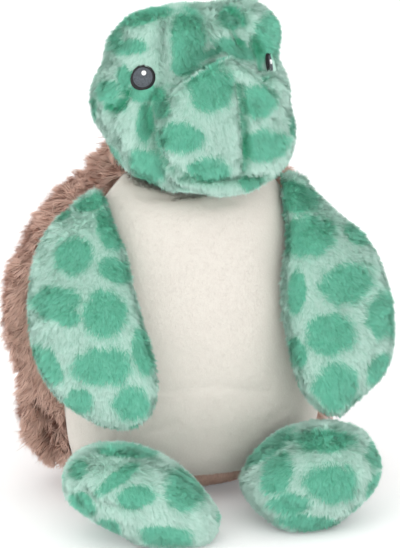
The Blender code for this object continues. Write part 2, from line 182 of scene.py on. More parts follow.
def plush(name, pale, deep, root, spots=None, sheen=0.5, grain=0.1 * MM):
    """Pile that varies between two tones from tuft to tuft, is painted darker towards its root as
    shade, and may be printed with spots."""
    made, tree, shader = new_material(name, 0.95, sheen)
    shader.inputs["Sheen Tint"].default_value = linear(pale)
    tufts = noise(tree, TUFT)
    colour = mix(tree, tufts, linear(pale), linear(deep))
    if spots:
        printed = mix(tree, tufts, linear(spots[0]), linear(spots[1]))
        mask = node(tree, "ShaderNodeAttribute", {"attribute_name": "spot"}).outputs["Fac"]
        colour = mix(tree, mask, colour, printed)
    # Painted shade: the 'root' attribute says how deep in shade a point of the pile lies, and the colour is multiplied
    # towards the root colour by it.
    height = node(tree, "ShaderNodeAttribute", {"attribute_name": "root"}).outputs["Fac"]
    shade = mix(tree, height, linear("#FFFFFF"), linear(root))
    colour = node(
        tree, "ShaderNodeMix", {"data_type": "RGBA", "blend_type": "MULTIPLY"}, {0: 1.0, 6: colour, 7: shade}
    ).outputs[2]
    tree.links.new(colour, shader.inputs["Base Color"])
    bump(tree, shader, noise(tree, FIBRE), grain)
    return made


green_plush = plush("mint_spotted_plush", "#E4FBF2", "#D0F3E6", "#36A88A", ("#92E2C8", "#6CCBAE"))
brown_plush = plush("dusty_brown_long_plush", "#F3D3C4", "#DCB3A1", "#6E4738")
cream_plush = plush("cream_short_plush", "#EBE6DF", "#E6E0D9", "#DDD9D0", grain=0.02 * MM)

# %% Stuffing and pouch materials
stuffing, tree, shader = new_material("polyester_fibre", 1.0, 0.3)
shader.inputs["Base Color"].default_value = linear("#F2F2EE")
bump(tree, shader, noise(tree, 3 * MM), 1 * MM)

pouch_cloth, tree, shader = new_material("cotton_pouch_cloth", 0.9, 0.1)
weave = node(
    tree, "ShaderNodeTexWave", {"bands_direction": "X"}, {"Vector": position(tree), "Scale": 1 / (6.3 * MM)}
).outputs["Fac"]
tree.links.new(mix(tree, weave, linear("#E4E2DA"), linear("#D2CFC4")), shader.inputs["Base Color"])
bump(tree, shader, weave, 0.2 * MM)


# %% Thread material
def thread(name, pale, deep, roughness):
    """Rayon embroidery thread: a little gloss along each stitch."""
    made, tree, shader = new_material(name, roughness, 0.1)
    colour = mix(tree, noise(tree, 0.8 * MM), linear(pale), linear(deep))
    tree.links.new(colour, shader.inputs["Base Color"])
    return made


grey_thread = thread("grey_rayon_thread", "#6C737B", "#1E2125", 0.45)
black_thread = thread("black_rayon_thread", "#2B2B2D", "#161617", 0.45)
white_thread = thread("white_rayon_thread", "#FFFFFF", "#EFEFEF", 0.4)
print(len(bpy.data.materials), "materials")

# %% [markdown]
# ## Stuffed forms
# A stuffed panel toy swells and tapers smoothly, so each unit is a sphere whose rings follow a
# short table, with a smooth curve through the rows. The tables are those of the CAD solids, with
# many more rings between them. Every point keeps its turn round the form and its row, which later
# tell which panel it is on.


# %% Smooth rows and fine forms
def smooth_row(rows, place):
    """The values at a place between equally spaced rows, on a smooth curve through them."""
    last = len(rows) - 1
    start = min(max(int(place), 0), last - 1)
    f = place - start
    near = [rows[min(max(start + step, 0), last)] for step in (-1, 0, 1, 2)]
    return [
        (2 * b + (c - a) * f + (2 * a - 5 * b + 4 * c - d) * f**2 + (3 * b - a - 3 * c + d) * f**3) / 2
        for a, b, c, d in zip(*near)
    ]


FINENESS = 8


def fine_form(turns, rows, place):
    """A closed form with FINENESS rings for each row, whose points go where place says."""
    form = bmesh.new()
    bmesh.ops.create_uvsphere(form, u_segments=turns * FINENESS, v_segments=rows * FINENESS, radius=1)
    turn = form.verts.layers.float.new("turn")
    row = form.verts.layers.float.new("row")
    for vert in form.verts:
        vert[turn] = math.atan2(vert.co.x, -vert.co.y)
        vert[row] = rows * (0.5 + math.asin(max(-1, min(1, vert.co.z))) / math.pi)
        vert.co = place(vert[turn], vert[row])
    form.normal_update()
    return form


# %% [markdown]
# Soft units give way where they touch. Points that would lie inside a harder neighbour move out
# to its surface, which is how an arm comes to lie flat against the belly.


# %% Soft contact
def resting(point, reach, surface):
    """A point moved off a surface until it is its reach away from it."""
    spot, normal, _, _ = surface.find_nearest(point)
    return point + normal * max(0, reach - (point - spot).dot(normal))


def press(form, surface, clearance):
    for vert in form.verts:
        vert.co = resting(vert.co, clearance, surface)
    form.normal_update()


def keep_out_of_ball(form, centre, radius):
    """Moves the points of a form that lie in a ball out to it, as a socket."""
    for vert in form.verts:
        away = vert.co - centre
        if away.length < radius:
            vert.co = centre + away.normalized() * radius
    form.normal_update()


# %% [markdown]
# Seams and folds are lines on the form that pull it in. Each is a list of points, and every point
# of the form near it moves in by the groove's depth, less with distance.


# %% Seams, folds and soft lumps
def draw_in(form, line, depth, width, pinch=0.0):
    """Moves the form's points in along a line, by depth on it and less within width. A negative
    depth swells it. Each point keeps how far a seam there pinches its pile, which later parts and
    shortens the pile there and paints shade into its colour."""
    tree = KDTree(len(line))
    for index, point in enumerate(line):
        tree.insert(point, index)
    tree.balance()
    groove = form.verts.layers.float.get("groove") or form.verts.layers.float.new("groove")
    moves = []
    for vert in form.verts:
        distance = tree.find(vert.co)[2]
        if distance < 3 * width:
            share = math.exp(-((distance / width) ** 2))
            moves.append((vert, vert.normal * depth * share))
            vert[groove] = max(vert[groove], pinch * math.exp(-((distance / PINCH_REACH) ** 2)))
    for vert, move in moves:
        vert.co -= move
    form.normal_update()


def inset(form, depth):
    """Moves a form in by the height at which its pile stands, so that the pile ends where the
    solid's surface is. depth may depend on the point."""
    moves = [vert.normal * (depth(vert) if callable(depth) else depth) for vert in form.verts]
    for vert, move in zip(form.verts, moves):
        vert.co -= move
    form.normal_update()


PINCH_REACH = 2.2 * MM


def seen_shifts(form, shifts):
    """Slides the points of a form near a pixel's line of sight across the picture. Each shift is
    a pixel, how far it moves in pixels, and the radius of what moves with it."""
    for vert in form.verts:
        from_origin = vert.co + Vector((0, SEAM_AHEAD, 0))
        px = ORIGIN_PIXEL[0] + from_origin.dot(across_view) / PIXEL
        py = ORIGIN_PIXEL[1] - from_origin.dot(up_view) / PIXEL
        for x, y, right, down, radius in shifts:
            share = math.exp(-((px - x) ** 2 + (py - y) ** 2) / radius**2)
            vert.co += (across_view * right - up_view * down) * (PIXEL * share)
    form.normal_update()


def relax(form, times):
    """Evens out a form, as cloth under tension does."""
    for _ in range(times):
        bmesh.ops.smooth_vert(
            form, verts=form.verts, factor=0.5, use_axis_x=True, use_axis_y=True, use_axis_z=True
        )
    form.normal_update()


def crease(form, line, depth, width, slit=0.0, pinch=1.0):
    """A soft valley along a line, with a narrow slit at its bottom that pinches the pile and paints
    shade into it.
    """
    draw_in(form, line, depth, width)
    if slit:
        bottom = BVHTree.FromBMesh(form)
        draw_in(form, [bottom.find_nearest(point)[0] for point in line], slit, 1.5 * MM, pinch)


def seen_at(surface, x, y):
    """The point of a surface that the photograph shows at a pixel."""
    return surface.ray_cast(picture_point(x, y) - into_view, into_view)[0]


def seen_line(surface, *pixels):
    """Points of a surface, closely spaced, along lines between pixels of the photograph."""
    points = []
    for (x0, y0), (x1, y1) in zip(pixels, pixels[1:]):
        steps = max(2, int(math.hypot(x1 - x0, y1 - y0)))
        for k in range(steps + 1):
            points.append(seen_at(surface, x0 + (x1 - x0) * k / steps, y0 + (y1 - y0) * k / steps))
    return [point for point in points if point]


def lattice_noise(points, size, seed):
    """Smooth noise from -1 to 1 at each point, with cells of the given size."""
    scaled = np.asarray(points) / size + 1000
    cell = np.floor(scaled).astype(np.int64)
    f = scaled - cell
    f = f * f * (3 - 2 * f)
    total = np.zeros(len(scaled))
    for corner in range(8):
        step = np.array([corner & 1, corner >> 1 & 1, corner >> 2 & 1])
        at = cell + step
        mixed = (at[:, 0] * 73856093 ^ at[:, 1] * 19349663 ^ at[:, 2] * 83492791 ^ seed * 2654435761) & 0xFFFFFFFF
        mixed = (mixed ^ mixed >> 13) * 1274126177 & 0xFFFFFFFF
        value = (mixed ^ mixed >> 16) / 0xFFFFFFFF * 2 - 1
        total += value * np.prod(np.where(step, f, 1 - f), axis=1)
    return total


def swell(form, size, height, seed, level=0.0):
    """Raises and sinks the form softly, as uneven stuffing does, above a level."""
    points = np.array([vert.co for vert in form.verts])
    heights = lattice_noise(points, size, seed) * height
    for vert, amount in zip(form.verts, heights):
        share = min(1, max(0, (vert.co.z - level) / size))
        vert.co += vert.normal * (amount * share)
    form.normal_update()


# %% [markdown]
# ## Body
# The belly is a narrow front, the shell a wide dome behind it, and both meet at the side seams.
# The seat is flat where the toy sits. The neck hole is a hollow round the neck's ball.

# %% Body sizes and rows
BELLY_TOP = 161 * MM
BELLY_HALF_WIDTH = 68 * MM
BELLY_DEPTH = 44 * MM
SHELL_TOP = 186 * MM
SHELL_HALF_WIDTH = 91 * MM
SHELL_DEPTH = 72 * MM
NECK_RADIUS = 21 * MM
NECK_RISE = 6 * MM
BODY_ROW_SHARES = (
    (0.000, 0.000, 0.31, 0.00, -0.50, 0.00, 0.31, 0.31),
    (0.000, 0.000, 0.29, 0.32, -0.05, 0.26, 0.33, 0.56),
    (0.050, 0.000, 0.15, 0.63, 0.43, 0.51, 0.33, 0.72),
    (0.098, 0.043, 0.04, 0.86, 0.71, 0.75, 0.29, 0.82),
    (0.190, 0.130, 0.00, 0.96, 0.89, 0.89, 0.26, 0.90),
    (0.304, 0.237, 0.00, 1.00, 0.98, 0.95, 0.25, 0.96),
    (0.418, 0.355, 0.00, 1.00, 1.00, 0.98, 0.25, 1.00),
    (0.532, 0.473, 0.00, 0.97, 0.98, 1.00, 0.25, 1.01),
    (0.640, 0.590, 0.00, 0.91, 0.93, 0.99, 0.25, 0.99),
    (0.740, 0.704, 0.00, 0.84, 0.85, 0.90, 0.27, 0.94),
    (0.830, 0.806, 0.01, 0.80, 0.79, 0.77, 0.30, 0.87),
    (0.905, 0.892, 0.02, 0.72, 0.73, 0.64, 0.34, 0.81),
    (0.955, 0.957, 0.04, 0.62, 0.65, 0.51, 0.39, 0.76),
    (0.985, 1.000, 0.08, 0.50, 0.53, 0.41, 0.42, 0.70),
    (0.998, 0.976, 0.12, 0.38, 0.38, 0.33, 0.38, 0.60),
    (1.000, 0.900, 0.15, 0.21, 0.18, 0.20, 0.25, 0.42),
    (1.000, 0.866, 0.17, 0.00, -0.28, 0.00, 0.17, 0.17),
)
BODY_SHIFTS = ((72, 165, 9, 6, 24), (92, 140, 8, 4, 18), (10, 380, 7, 0, 26))
BELLY_PILE_RISE = 0.8 * MM
SHELL_PILE_RISE = 5.0 * MM
GREEN_PILE_RISE = 2.1 * MM
BODY_TURNS = 24
BODY_ROWS = len(BODY_ROW_SHARES) - 1
BELLY_TURN = math.radians(75)
SEAT_ROW = 3


def body_place(turn, row):
    """A point of the body. turn is 0 at the belly's middle and pi at the back."""
    front, back, seam, seam_out, belly, shell_out, wide, shell = smooth_row(BODY_ROW_SHARES, row)
    seam_y = seam * SHELL_DEPTH
    seam_x = seam_out * BELLY_HALF_WIDTH
    height = BELLY_TOP * front + (SHELL_TOP * back - BELLY_TOP * front) * (1 - math.cos(turn)) / 2
    side = math.copysign(1, turn)
    share = abs(turn) / BELLY_TURN
    if share <= 1:
        angle = share * math.pi / 2
        x = side * seam_x * math.sin(angle)
        y = seam_y - (seam_y + belly * BELLY_DEPTH) * math.cos(angle)
    else:
        share = (abs(turn) - BELLY_TURN) / (math.pi - BELLY_TURN)
        shell_x = max(shell_out * SHELL_HALF_WIDTH, seam_x)
        wide_y = wide * SHELL_DEPTH
        start = math.asin(seam_x / shell_x) if shell_x > 0 else math.pi / 2
        angle = start + share * (math.pi - start)
        x = side * shell_x * math.sin(angle)
        if angle < math.pi / 2:
            y = wide_y - (wide_y - seam_y) * math.cos(angle) / math.cos(start)
        else:
            y = wide_y - (shell * SHELL_DEPTH - wide_y) * math.cos(angle)
    return Vector((x, y - SEAM_AHEAD, max(height, 0)))


def line_on(place, start, end, steps=160):
    """Points of a form along a straight line in its turns and rows."""
    shares = [index / steps for index in range(steps + 1)]
    return [place(start[0] + (end[0] - start[0]) * s, start[1] + (end[1] - start[1]) * s) for s in shares]


# %% Make the body
neck_centre = body_place(0, BODY_ROWS) + Vector((0, 0, NECK_RISE))
body_form = fine_form(BODY_TURNS, BODY_ROWS, body_place)
seen_shifts(body_form, BODY_SHIFTS)
body_surface = BVHTree.FromBMesh(body_form)
body_turn = body_form.verts.layers.float["turn"]


def body_inset(vert):
    share = min(1, max(0, (abs(vert[body_turn]) - BELLY_TURN) / math.radians(12) + 0.5))
    return BELLY_PILE_RISE + (SHELL_PILE_RISE - BELLY_PILE_RISE) * share


inset(body_form, body_inset)
for side in (-1, 1):
    seam = line_on(body_place, (side * BELLY_TURN, SEAT_ROW), (side * BELLY_TURN, BODY_ROWS - 1))
    draw_in(body_form, seam, 2.2 * MM, 3 * MM)
draw_in(body_form, line_on(body_place, (math.pi, SEAT_ROW), (math.pi, BODY_ROWS - 1)), 1.2 * MM, 2.5 * MM)
backing = BVHTree.FromBMesh(body_form)
# Folds at the shell's lower corner; they pinch the pile, which paints shade into them.
for line in (((37, 402), (47, 414), (58, 426)), ((46, 428), (50, 440), (55, 451))):
    draw_in(body_form, seen_line(backing, *line), 4 * MM, 3.5 * MM, pinch=0.9)
for line in (((143, 194), (168, 197), (194, 194)), ((208, 205), (236, 200))):
    draw_in(body_form, seen_line(body_surface, *line), 0.6 * MM, 3 * MM)
draw_in(body_form, seen_line(body_surface, (215, 402), (212, 428), (209, 453)), 0.5 * MM, 1.2 * MM)
for line in (((165, 391), (215, 386), (268, 391)), ((152, 432), (172, 424)), ((268, 420), (292, 404))):
    draw_in(body_form, seen_line(body_surface, *line), 0.5 * MM, 2.6 * MM)
swell(body_form, 34 * MM, 1.2 * MM, 3, level=12 * MM)
swell(body_form, 12 * MM, 0.35 * MM, 4, level=12 * MM)
keep_out_of_ball(body_form, neck_centre, NECK_RADIUS + 0.6 * MM)
print("body:", len(body_form.verts), "points")

# %% [markdown]
# ## Head
# A box of a head with two brow mounds and a snout. The snout is its own bulge: a deep crease
# parts it from the cheeks, the mouth is a level crease below, and a seam runs down its middle.
# The head is turned to the toy's left and leans a little.

# %% Head sizes and rows
HEAD_RISE = 42 * MM
HEAD_AHEAD = 16 * MM
HEAD_ASIDE = 3 * MM
HEAD_HALF_WIDTH = 52 * MM
HEAD_UP = 42.5 * MM
HEAD_DOWN = 46 * MM
HEAD_BACK = 47 * MM
SNOUT_REACH = 45 * MM
HEAD_CLEARANCE = 2.8 * MM
BROW_HEIGHT = 12 * MM
BROW_WIDTH = 10 * MM
BROW_SPREAD = 18.5 * MM
BROW_OUT = 30 * MM
BROW_REACH = 1 * MM
JAW_SQUARENESS = 0.85
EYE_OUT = 38.2 * MM
EYE_REACH = 8.5 * MM
EYE_UP = 12.5 * MM
EYE_DIP = 4 * MM
EYE_DIP_SPREAD = 14 * MM
HEAD_ROW_SHARES = (
    (1.00, 0.00, -0.70, 0.70, -0.70, 1.0),
    (0.995, 0.22, -0.34, 0.79, -0.62, 1.0),
    (0.965, 0.43, -0.04, 0.86, -0.52, 1.1),
    (0.91, 0.60, 0.21, 0.91, -0.44, 1.2),
    (0.82, 0.70, 0.41, 0.95, -0.38, 1.3),
    (0.69, 0.76, 0.54, 0.98, -0.34, 1.3),
    (0.54, 0.77, 0.62, 0.99, -0.30, 1.3),
    (0.42, 0.76, 0.66, 0.99, -0.26, 1.2),
    (0.27, 0.90, 0.82, 1.00, -0.20, 1.0),
    (0.08, 0.98, 0.93, 1.00, -0.14, 0.9),
    (-0.18, 1.00, 0.97, 1.01, -0.10, 0.85),
    (-0.44, 0.96, 0.94, 0.98, -0.04, 0.9),
    (-0.68, 0.83, 0.80, 0.86, 0.00, 1.0),
    (-0.87, 0.60, 0.58, 0.62, 0.00, 1.0),
    (-0.97, 0.29, 0.28, 0.27, 0.00, 1.0),
    (-1.00, 0.00, 0.00, 0.00, 0.00, 1.0),
)
HEAD_SHIFTS = (
    (88, 62, 9, 0, 22), (95, 140, 5, 0, 14), (150, 2, -2, 4, 28), (205, 0, 0, 4, 25),
    (270, 25, 12, 0, 22), (284, 82, 9, 0, 16), (200, 55, 1, 13, 16), (224, 44, 0, 8, 12),
    (252, 50, -2, 17, 14), (260, 27, -10, 0, 13), (266, 5, -5, 1, 14), (155, 15, 13, 0, 13),
    (215, 190, 0, 4, 18), (176, 182, 0, 8, 18), (133, 167, -1, 7, 16), (158, 181, 0, 6, 14),
)
HEAD_TURNS = 24
HEAD_ROWS = len(HEAD_ROW_SHARES) - 1
SNOUT_ROW = 7
GUSSET_TURN = math.radians(30)
MOUTH_TURN = math.radians(135)
head_frame = (
    Matrix.Translation(neck_centre + Vector((HEAD_ASIDE, -HEAD_AHEAD, HEAD_RISE)))
    @ Matrix.Rotation(math.radians(18), 4, "Z")
    @ Matrix.Rotation(math.radians(6), 4, "Y")
)


def head_place(turn, row):
    """A point of the head. turn is 0 at the top, and row 0 is the middle of the mouth."""
    reach, width, up, down, level, peak = smooth_row(HEAD_ROW_SHARES, row)
    middle = level * HEAD_DOWN
    x = width * HEAD_HALF_WIDTH * math.sin(turn)
    y = -reach * (SNOUT_REACH if reach > 0 else HEAD_BACK)
    upward = math.cos(turn)
    if upward > 0:
        z = middle + (up * HEAD_UP - middle) * upward**peak
    else:
        z = middle - (down * HEAD_DOWN + middle) * abs(upward) ** JAW_SQUARENESS
    brow = math.exp(-((abs(x) - BROW_OUT) ** 2 + (y + BROW_REACH) ** 2) / BROW_SPREAD**2)
    dip = math.exp(-((y + EYE_REACH) ** 2 + (z - EYE_UP) ** 2) / EYE_DIP_SPREAD**2)
    outward = math.copysign(1, x)
    x -= outward * min(EYE_DIP * dip, abs(x))
    if z > 0:
        brow *= z / HEAD_UP
        x += outward * BROW_WIDTH * brow
        z += BROW_HEIGHT * brow
    return head_frame @ Vector((x, y, z))


# %% Make the head
head_form = fine_form(HEAD_TURNS, HEAD_ROWS, head_place)
turned_seams = {side: line_on(head_place, (side * GUSSET_TURN, 11), (side * GUSSET_TURN, HEAD_ROWS - 1)) for side in (-1, 1)}
seen_shifts(head_form, HEAD_SHIFTS)
press(head_form, body_surface, HEAD_CLEARANCE)
relax(head_form, 8)
head_surface = BVHTree.FromBMesh(head_form)
inset(head_form, GREEN_PILE_RISE)
snout_top = (166, 90), (175, 79), (188, 73), (202, 67), (214, 59), (225, 52), (237, 59), (249, 67), (266, 79), (277, 88)
snout_side = (166, 90), (157, 103), (153, 115), (152, 129), (154, 150), (160, 161), (168, 171), (180, 180)
ridge = tuple((x, y + 9) for x, y in snout_top[1:-1])
above = tuple((x, y - 6) for x, y in snout_top[1:-2])
inside = tuple((x + 13, y) for x, y in snout_side[2:])
# Creases with a slit also pinch the pile, which paints shade into them.
crease(head_form, seen_line(head_surface, *above), 5 * MM, 7 * MM)
crease(head_form, seen_line(head_surface, *ridge), -3 * MM, 5 * MM)
crease(head_form, seen_line(head_surface, *snout_top), 4.5 * MM, 3.2 * MM, 1 * MM, 0.25)
crease(head_form, seen_line(head_surface, *inside), -2 * MM, 6 * MM)
crease(head_form, seen_line(head_surface, (124, 120), (128, 140)), -2 * MM, 8 * MM)
crease(head_form, seen_line(head_surface, *snout_side), 3.5 * MM, 4 * MM, 1.5 * MM, 0.5)
hidden_cheek = line_on(head_place, (math.radians(75), SNOUT_ROW), (MOUTH_TURN, SNOUT_ROW))
crease(head_form, hidden_cheek, 3 * MM, 4 * MM, 1 * MM, 0.5)
mouth = (180, 182), (190, 184), (202, 182.5), (228, 179), (249, 176.5), (268, 177)
crease(head_form, seen_line(head_surface, *mouth), 3.5 * MM, 3 * MM, 2 * MM, 0.5)
crease(head_form, seen_line(head_surface, (215, 190), (250, 186)), -2 * MM, 6 * MM)
crease(head_form, seen_line(head_surface, (242, 88), (246, 115), (247, 140), (248, 174)), 2.5 * MM, 3.5 * MM, 2 * MM, 0.7)
crease(head_form, seen_line(head_surface, (235, 10), (243, 25), (255, 52), (262, 72)), 6 * MM, 4.5 * MM, 2.5 * MM, 0.9)
crease(head_form, seen_line(head_surface, (250, 15), (257, 32), (268, 52)), -2.5 * MM, 5 * MM)
crease(head_form, seen_line(head_surface, (171, 20), (170, 35), (172, 52), (174, 77)), 4.5 * MM, 5 * MM)
crease(head_form, seen_line(head_surface, (135, 30), (150, 34)), -2 * MM, 8 * MM)
crease(head_form, seen_line(head_surface, (111, 109), (122, 95)), 3.5 * MM, 3 * MM, 3 * MM)
for brow_line in turned_seams.values():
    crease(head_form, brow_line, 1.5 * MM, 3 * MM)
relax(head_form, 2)
swell(head_form, 24 * MM, 0.8 * MM, 5)
keep_out_of_ball(head_form, neck_centre, NECK_RADIUS + 0.6 * MM)
head_surface = BVHTree.FromBMesh(head_form)
head_form.normal_update()
print("head:", len(head_form.verts), "points")

# %% [markdown]
# ## Arms and legs
# The arms are flat mitten shapes that hang from the shoulders and rest on the sides of the belly.
# The legs are short and thick, and their soles face forward.

# %% Limb sizes and rows
SIDES = {"right": -1, "left": 1}
PRESS_CLEARANCE = 1 * MM
ARM_LENGTH = {"right": 120 * MM, "left": 124 * MM}
ARM_HALF_WIDTH = 31 * MM
ARM_HALF_THICKNESS = 15.5 * MM
ARM_BOW = {"right": 14.5 * MM, "left": 8.5 * MM}
ARM_LIFT = 10 * MM
ARM_SNUG_SHARE = 0.85
SHOULDER_ROW = 11.5
ARM_FORWARD = {"right": math.radians(29), "left": math.radians(28)}
ARM_OUTWARD = {"right": math.radians(0), "left": math.radians(8)}
ARM_FACING = {"right": math.radians(30), "left": math.radians(14)}
ARM_ROW_SHARES = (
    (0.00, 0.00, 0.00, 0.00, 0.00),
    (0.02, 0.24, 0.32, 0.06, 0.10),
    (0.08, 0.47, 0.50, 0.28, 0.40),
    (0.18, 0.71, 0.70, 0.64, 0.75),
    (0.31, 0.87, 0.86, 0.95, 0.95),
    (0.46, 0.96, 0.98, 1.00, 1.00),
    (0.61, 1.00, 1.00, 0.92, 1.00),
    (0.76, 0.94, 0.94, 0.68, 0.90),
    (0.89, 0.70, 0.70, 0.32, 0.75),
    (0.97, 0.38, 0.38, 0.09, 0.65),
    (1.00, 0.00, 0.00, 0.00, 0.60),
)
LEG_LENGTH = {"right": 77 * MM, "left": 71 * MM}
FOOT_HALF_WIDTH = {"right": 42 * MM, "left": 39 * MM}
FOOT_HALF_HEIGHT = 25.5 * MM
HIP_TURN = math.radians(39)
HIP_ROW = 3.6
LEG_OUTWARD = {"right": math.radians(2), "left": math.radians(-5)}
FOOT_ROLL = {"right": math.radians(-27), "left": math.radians(-18)}
FOOT_RISE = {"right": 20.5 * MM, "left": 22.5 * MM}
LEG_ROW_SHARES = (
    (0.00, 0.00, 0.00),
    (0.03, 0.32, 0.34),
    (0.13, 0.57, 0.60),
    (0.28, 0.78, 0.80),
    (0.45, 0.92, 0.94),
    (0.61, 1.00, 1.00),
    (0.75, 0.98, 0.98),
    (0.87, 0.83, 0.82),
    (0.95, 0.58, 0.57),
    (0.99, 0.29, 0.28),
    (1.00, 0.00, 0.00),
)
ARM_SHIFTS = {
    "right": ((68, 200, 5, 6, 18),),
    "left": ((350, 200, -13, 12, 34), (320, 186, -10, 3, 18), (340, 212, -5, 0, 16), (392, 285, 4, 0, 25), (287, 195, -6, 0, 18), (368, 402, -9, -5, 24)),
}
FOOT_SHIFTS = {
    "right": ((78, 515, 4, -4, 20), (104, 545, 8, -11, 34), (165, 556, 0, -9, 36), (222, 512, 5, 0, 16)),
    "left": (
        (236, 500, 4, -8, 22), (255, 525, 8, -9, 26), (384, 445, -7, 0, 20), (384, 480, -4, 0, 16), (372, 515, -8, -3, 22),
    ),
}
FOOT_FOLDS = {
    "right": (((84, 484), (97, 497), (118, 502), (137, 505)),),
    "left": (((287, 500), (296, 504), (307, 504)),),
}
LIMB_TURNS = 16
LIMB_ROWS = len(ARM_ROW_SHARES) - 1
SOLE_ROW = 6


# %% Make a limb
def limb_form(rows, start, along, facing, size, bends):
    """A stuffed limb that goes from start along a line and rests on the body.

    size is its length, half width and half thickness. Each vector of bends is what the line's
    middle moves by, times the row's own share.
    """
    length, half_width, half_thickness = (value - GREEN_PILE_RISE for value in size)
    length -= GREEN_PILE_RISE
    start = start + along * GREEN_PILE_RISE
    across = along.cross(facing).normalized()
    front = across.cross(along).normalized()
    rings = {}

    def ring(row):
        step, width, thick, *shares = smooth_row(rows, row)
        middle = start + along * (step * length)
        for bend, share in zip(bends, shares):
            middle = middle + bend * share
        if bends:
            normal = body_surface.find_nearest(middle)[1]
            reach = math.hypot(
                width * half_width * across.dot(normal), thick * half_thickness * front.dot(normal)
            )
            middle = resting(middle, ARM_SNUG_SHARE * reach + PRESS_CLEARANCE + GREEN_PILE_RISE, body_surface)
        return middle, across * (width * half_width), front * (thick * half_thickness)

    def place(turn, row):
        key = round(row, 3)
        if key not in rings:
            rings[key] = ring(row)
        middle, out, ahead = rings[key]
        return middle + out * math.sin(turn) + ahead * math.cos(turn)

    form = fine_form(LIMB_TURNS, LIMB_ROWS, place)
    return form, place


# %% Make the arms
def arm(side):
    sign = SIDES[side]
    root = body_place(sign * BELLY_TURN, SHOULDER_ROW)
    swing = Matrix.Rotation(-sign * ARM_OUTWARD[side], 3, "Y") @ Matrix.Rotation(-ARM_FORWARD[side], 3, "X")
    along = swing @ Vector((0, 0, -1))
    facing = Matrix.Rotation(sign * ARM_FACING[side], 3, "Z") @ Vector((0, -1, 0))
    bends = (Vector((sign * ARM_BOW[side], 0, 0)), facing * ARM_LIFT)
    size = (ARM_LENGTH[side], ARM_HALF_WIDTH, ARM_HALF_THICKNESS)
    form, place = limb_form(ARM_ROW_SHARES, root, along, facing, size, bends)
    for edge in (-1, 1):
        seam = line_on(place, (edge * math.pi / 2, 0.5), (edge * math.pi / 2, LIMB_ROWS - 0.3))
        draw_in(form, seam, 0.9 * MM, 1.8 * MM)
    seen_shifts(form, ARM_SHIFTS[side])
    press(form, body_surface, PRESS_CLEARANCE + GREEN_PILE_RISE)
    relax(form, 14)
    swell(form, 22 * MM, 0.7 * MM, 7)
    return form


# %% Make the legs
def leg(side):
    sign = SIDES[side]
    root = body_place(sign * HIP_TURN, HIP_ROW)
    root.z = FOOT_RISE[side]
    along = Matrix.Rotation(sign * LEG_OUTWARD[side], 3, "Z") @ Vector((0, -1, 0))
    facing = Matrix.Rotation(sign * FOOT_ROLL[side], 3, "Y") @ Vector((0, 0, 1))
    size = (LEG_LENGTH[side], FOOT_HALF_WIDTH[side], FOOT_HALF_HEIGHT)
    form, place = limb_form(LEG_ROW_SHARES, root, along, facing, size, ())
    draw_in(form, line_on(place, (-math.pi, SOLE_ROW), (math.pi, SOLE_ROW), 300), 1.0 * MM, 2.5 * MM)
    seen_shifts(form, FOOT_SHIFTS[side])
    press(form, body_surface, PRESS_CLEARANCE + GREEN_PILE_RISE)
    relax(form, 8)
    surface = BVHTree.FromBMesh(form)
    for line in FOOT_FOLDS[side]:
        draw_in(form, seen_line(surface, *line), 2.2 * MM, 2.4 * MM)
    swell(form, 20 * MM, 0.8 * MM, 11)
    for vert in form.verts:
        vert.co.z = max(vert.co.z, 0)
    form.normal_update()
    return form


arms = {side: arm(side) for side in SIDES}
legs = {side: leg(side) for side in SIDES}
arm_tops = {side: max((vert.co for vert in arms[side].verts), key=lambda co: co.z).copy() for side in SIDES}
leg_tops = {side: max((vert.co for vert in legs[side].verts), key=lambda co: co.z).copy() for side in SIDES}
print("limbs:", sum(len(form.verts) for form in [*arms.values(), *legs.values()]), "points")

# %% [markdown]
# ## Spots
# The mint pile has large darker spots. Those that the photograph shows are ellipses in its plane:
# centre, half width and half height in pixels, and turn in degrees. A point of a form that faces
# the camera takes its spot from there. The sides that are out of sight get spots of their own, at
# about the same spacing.

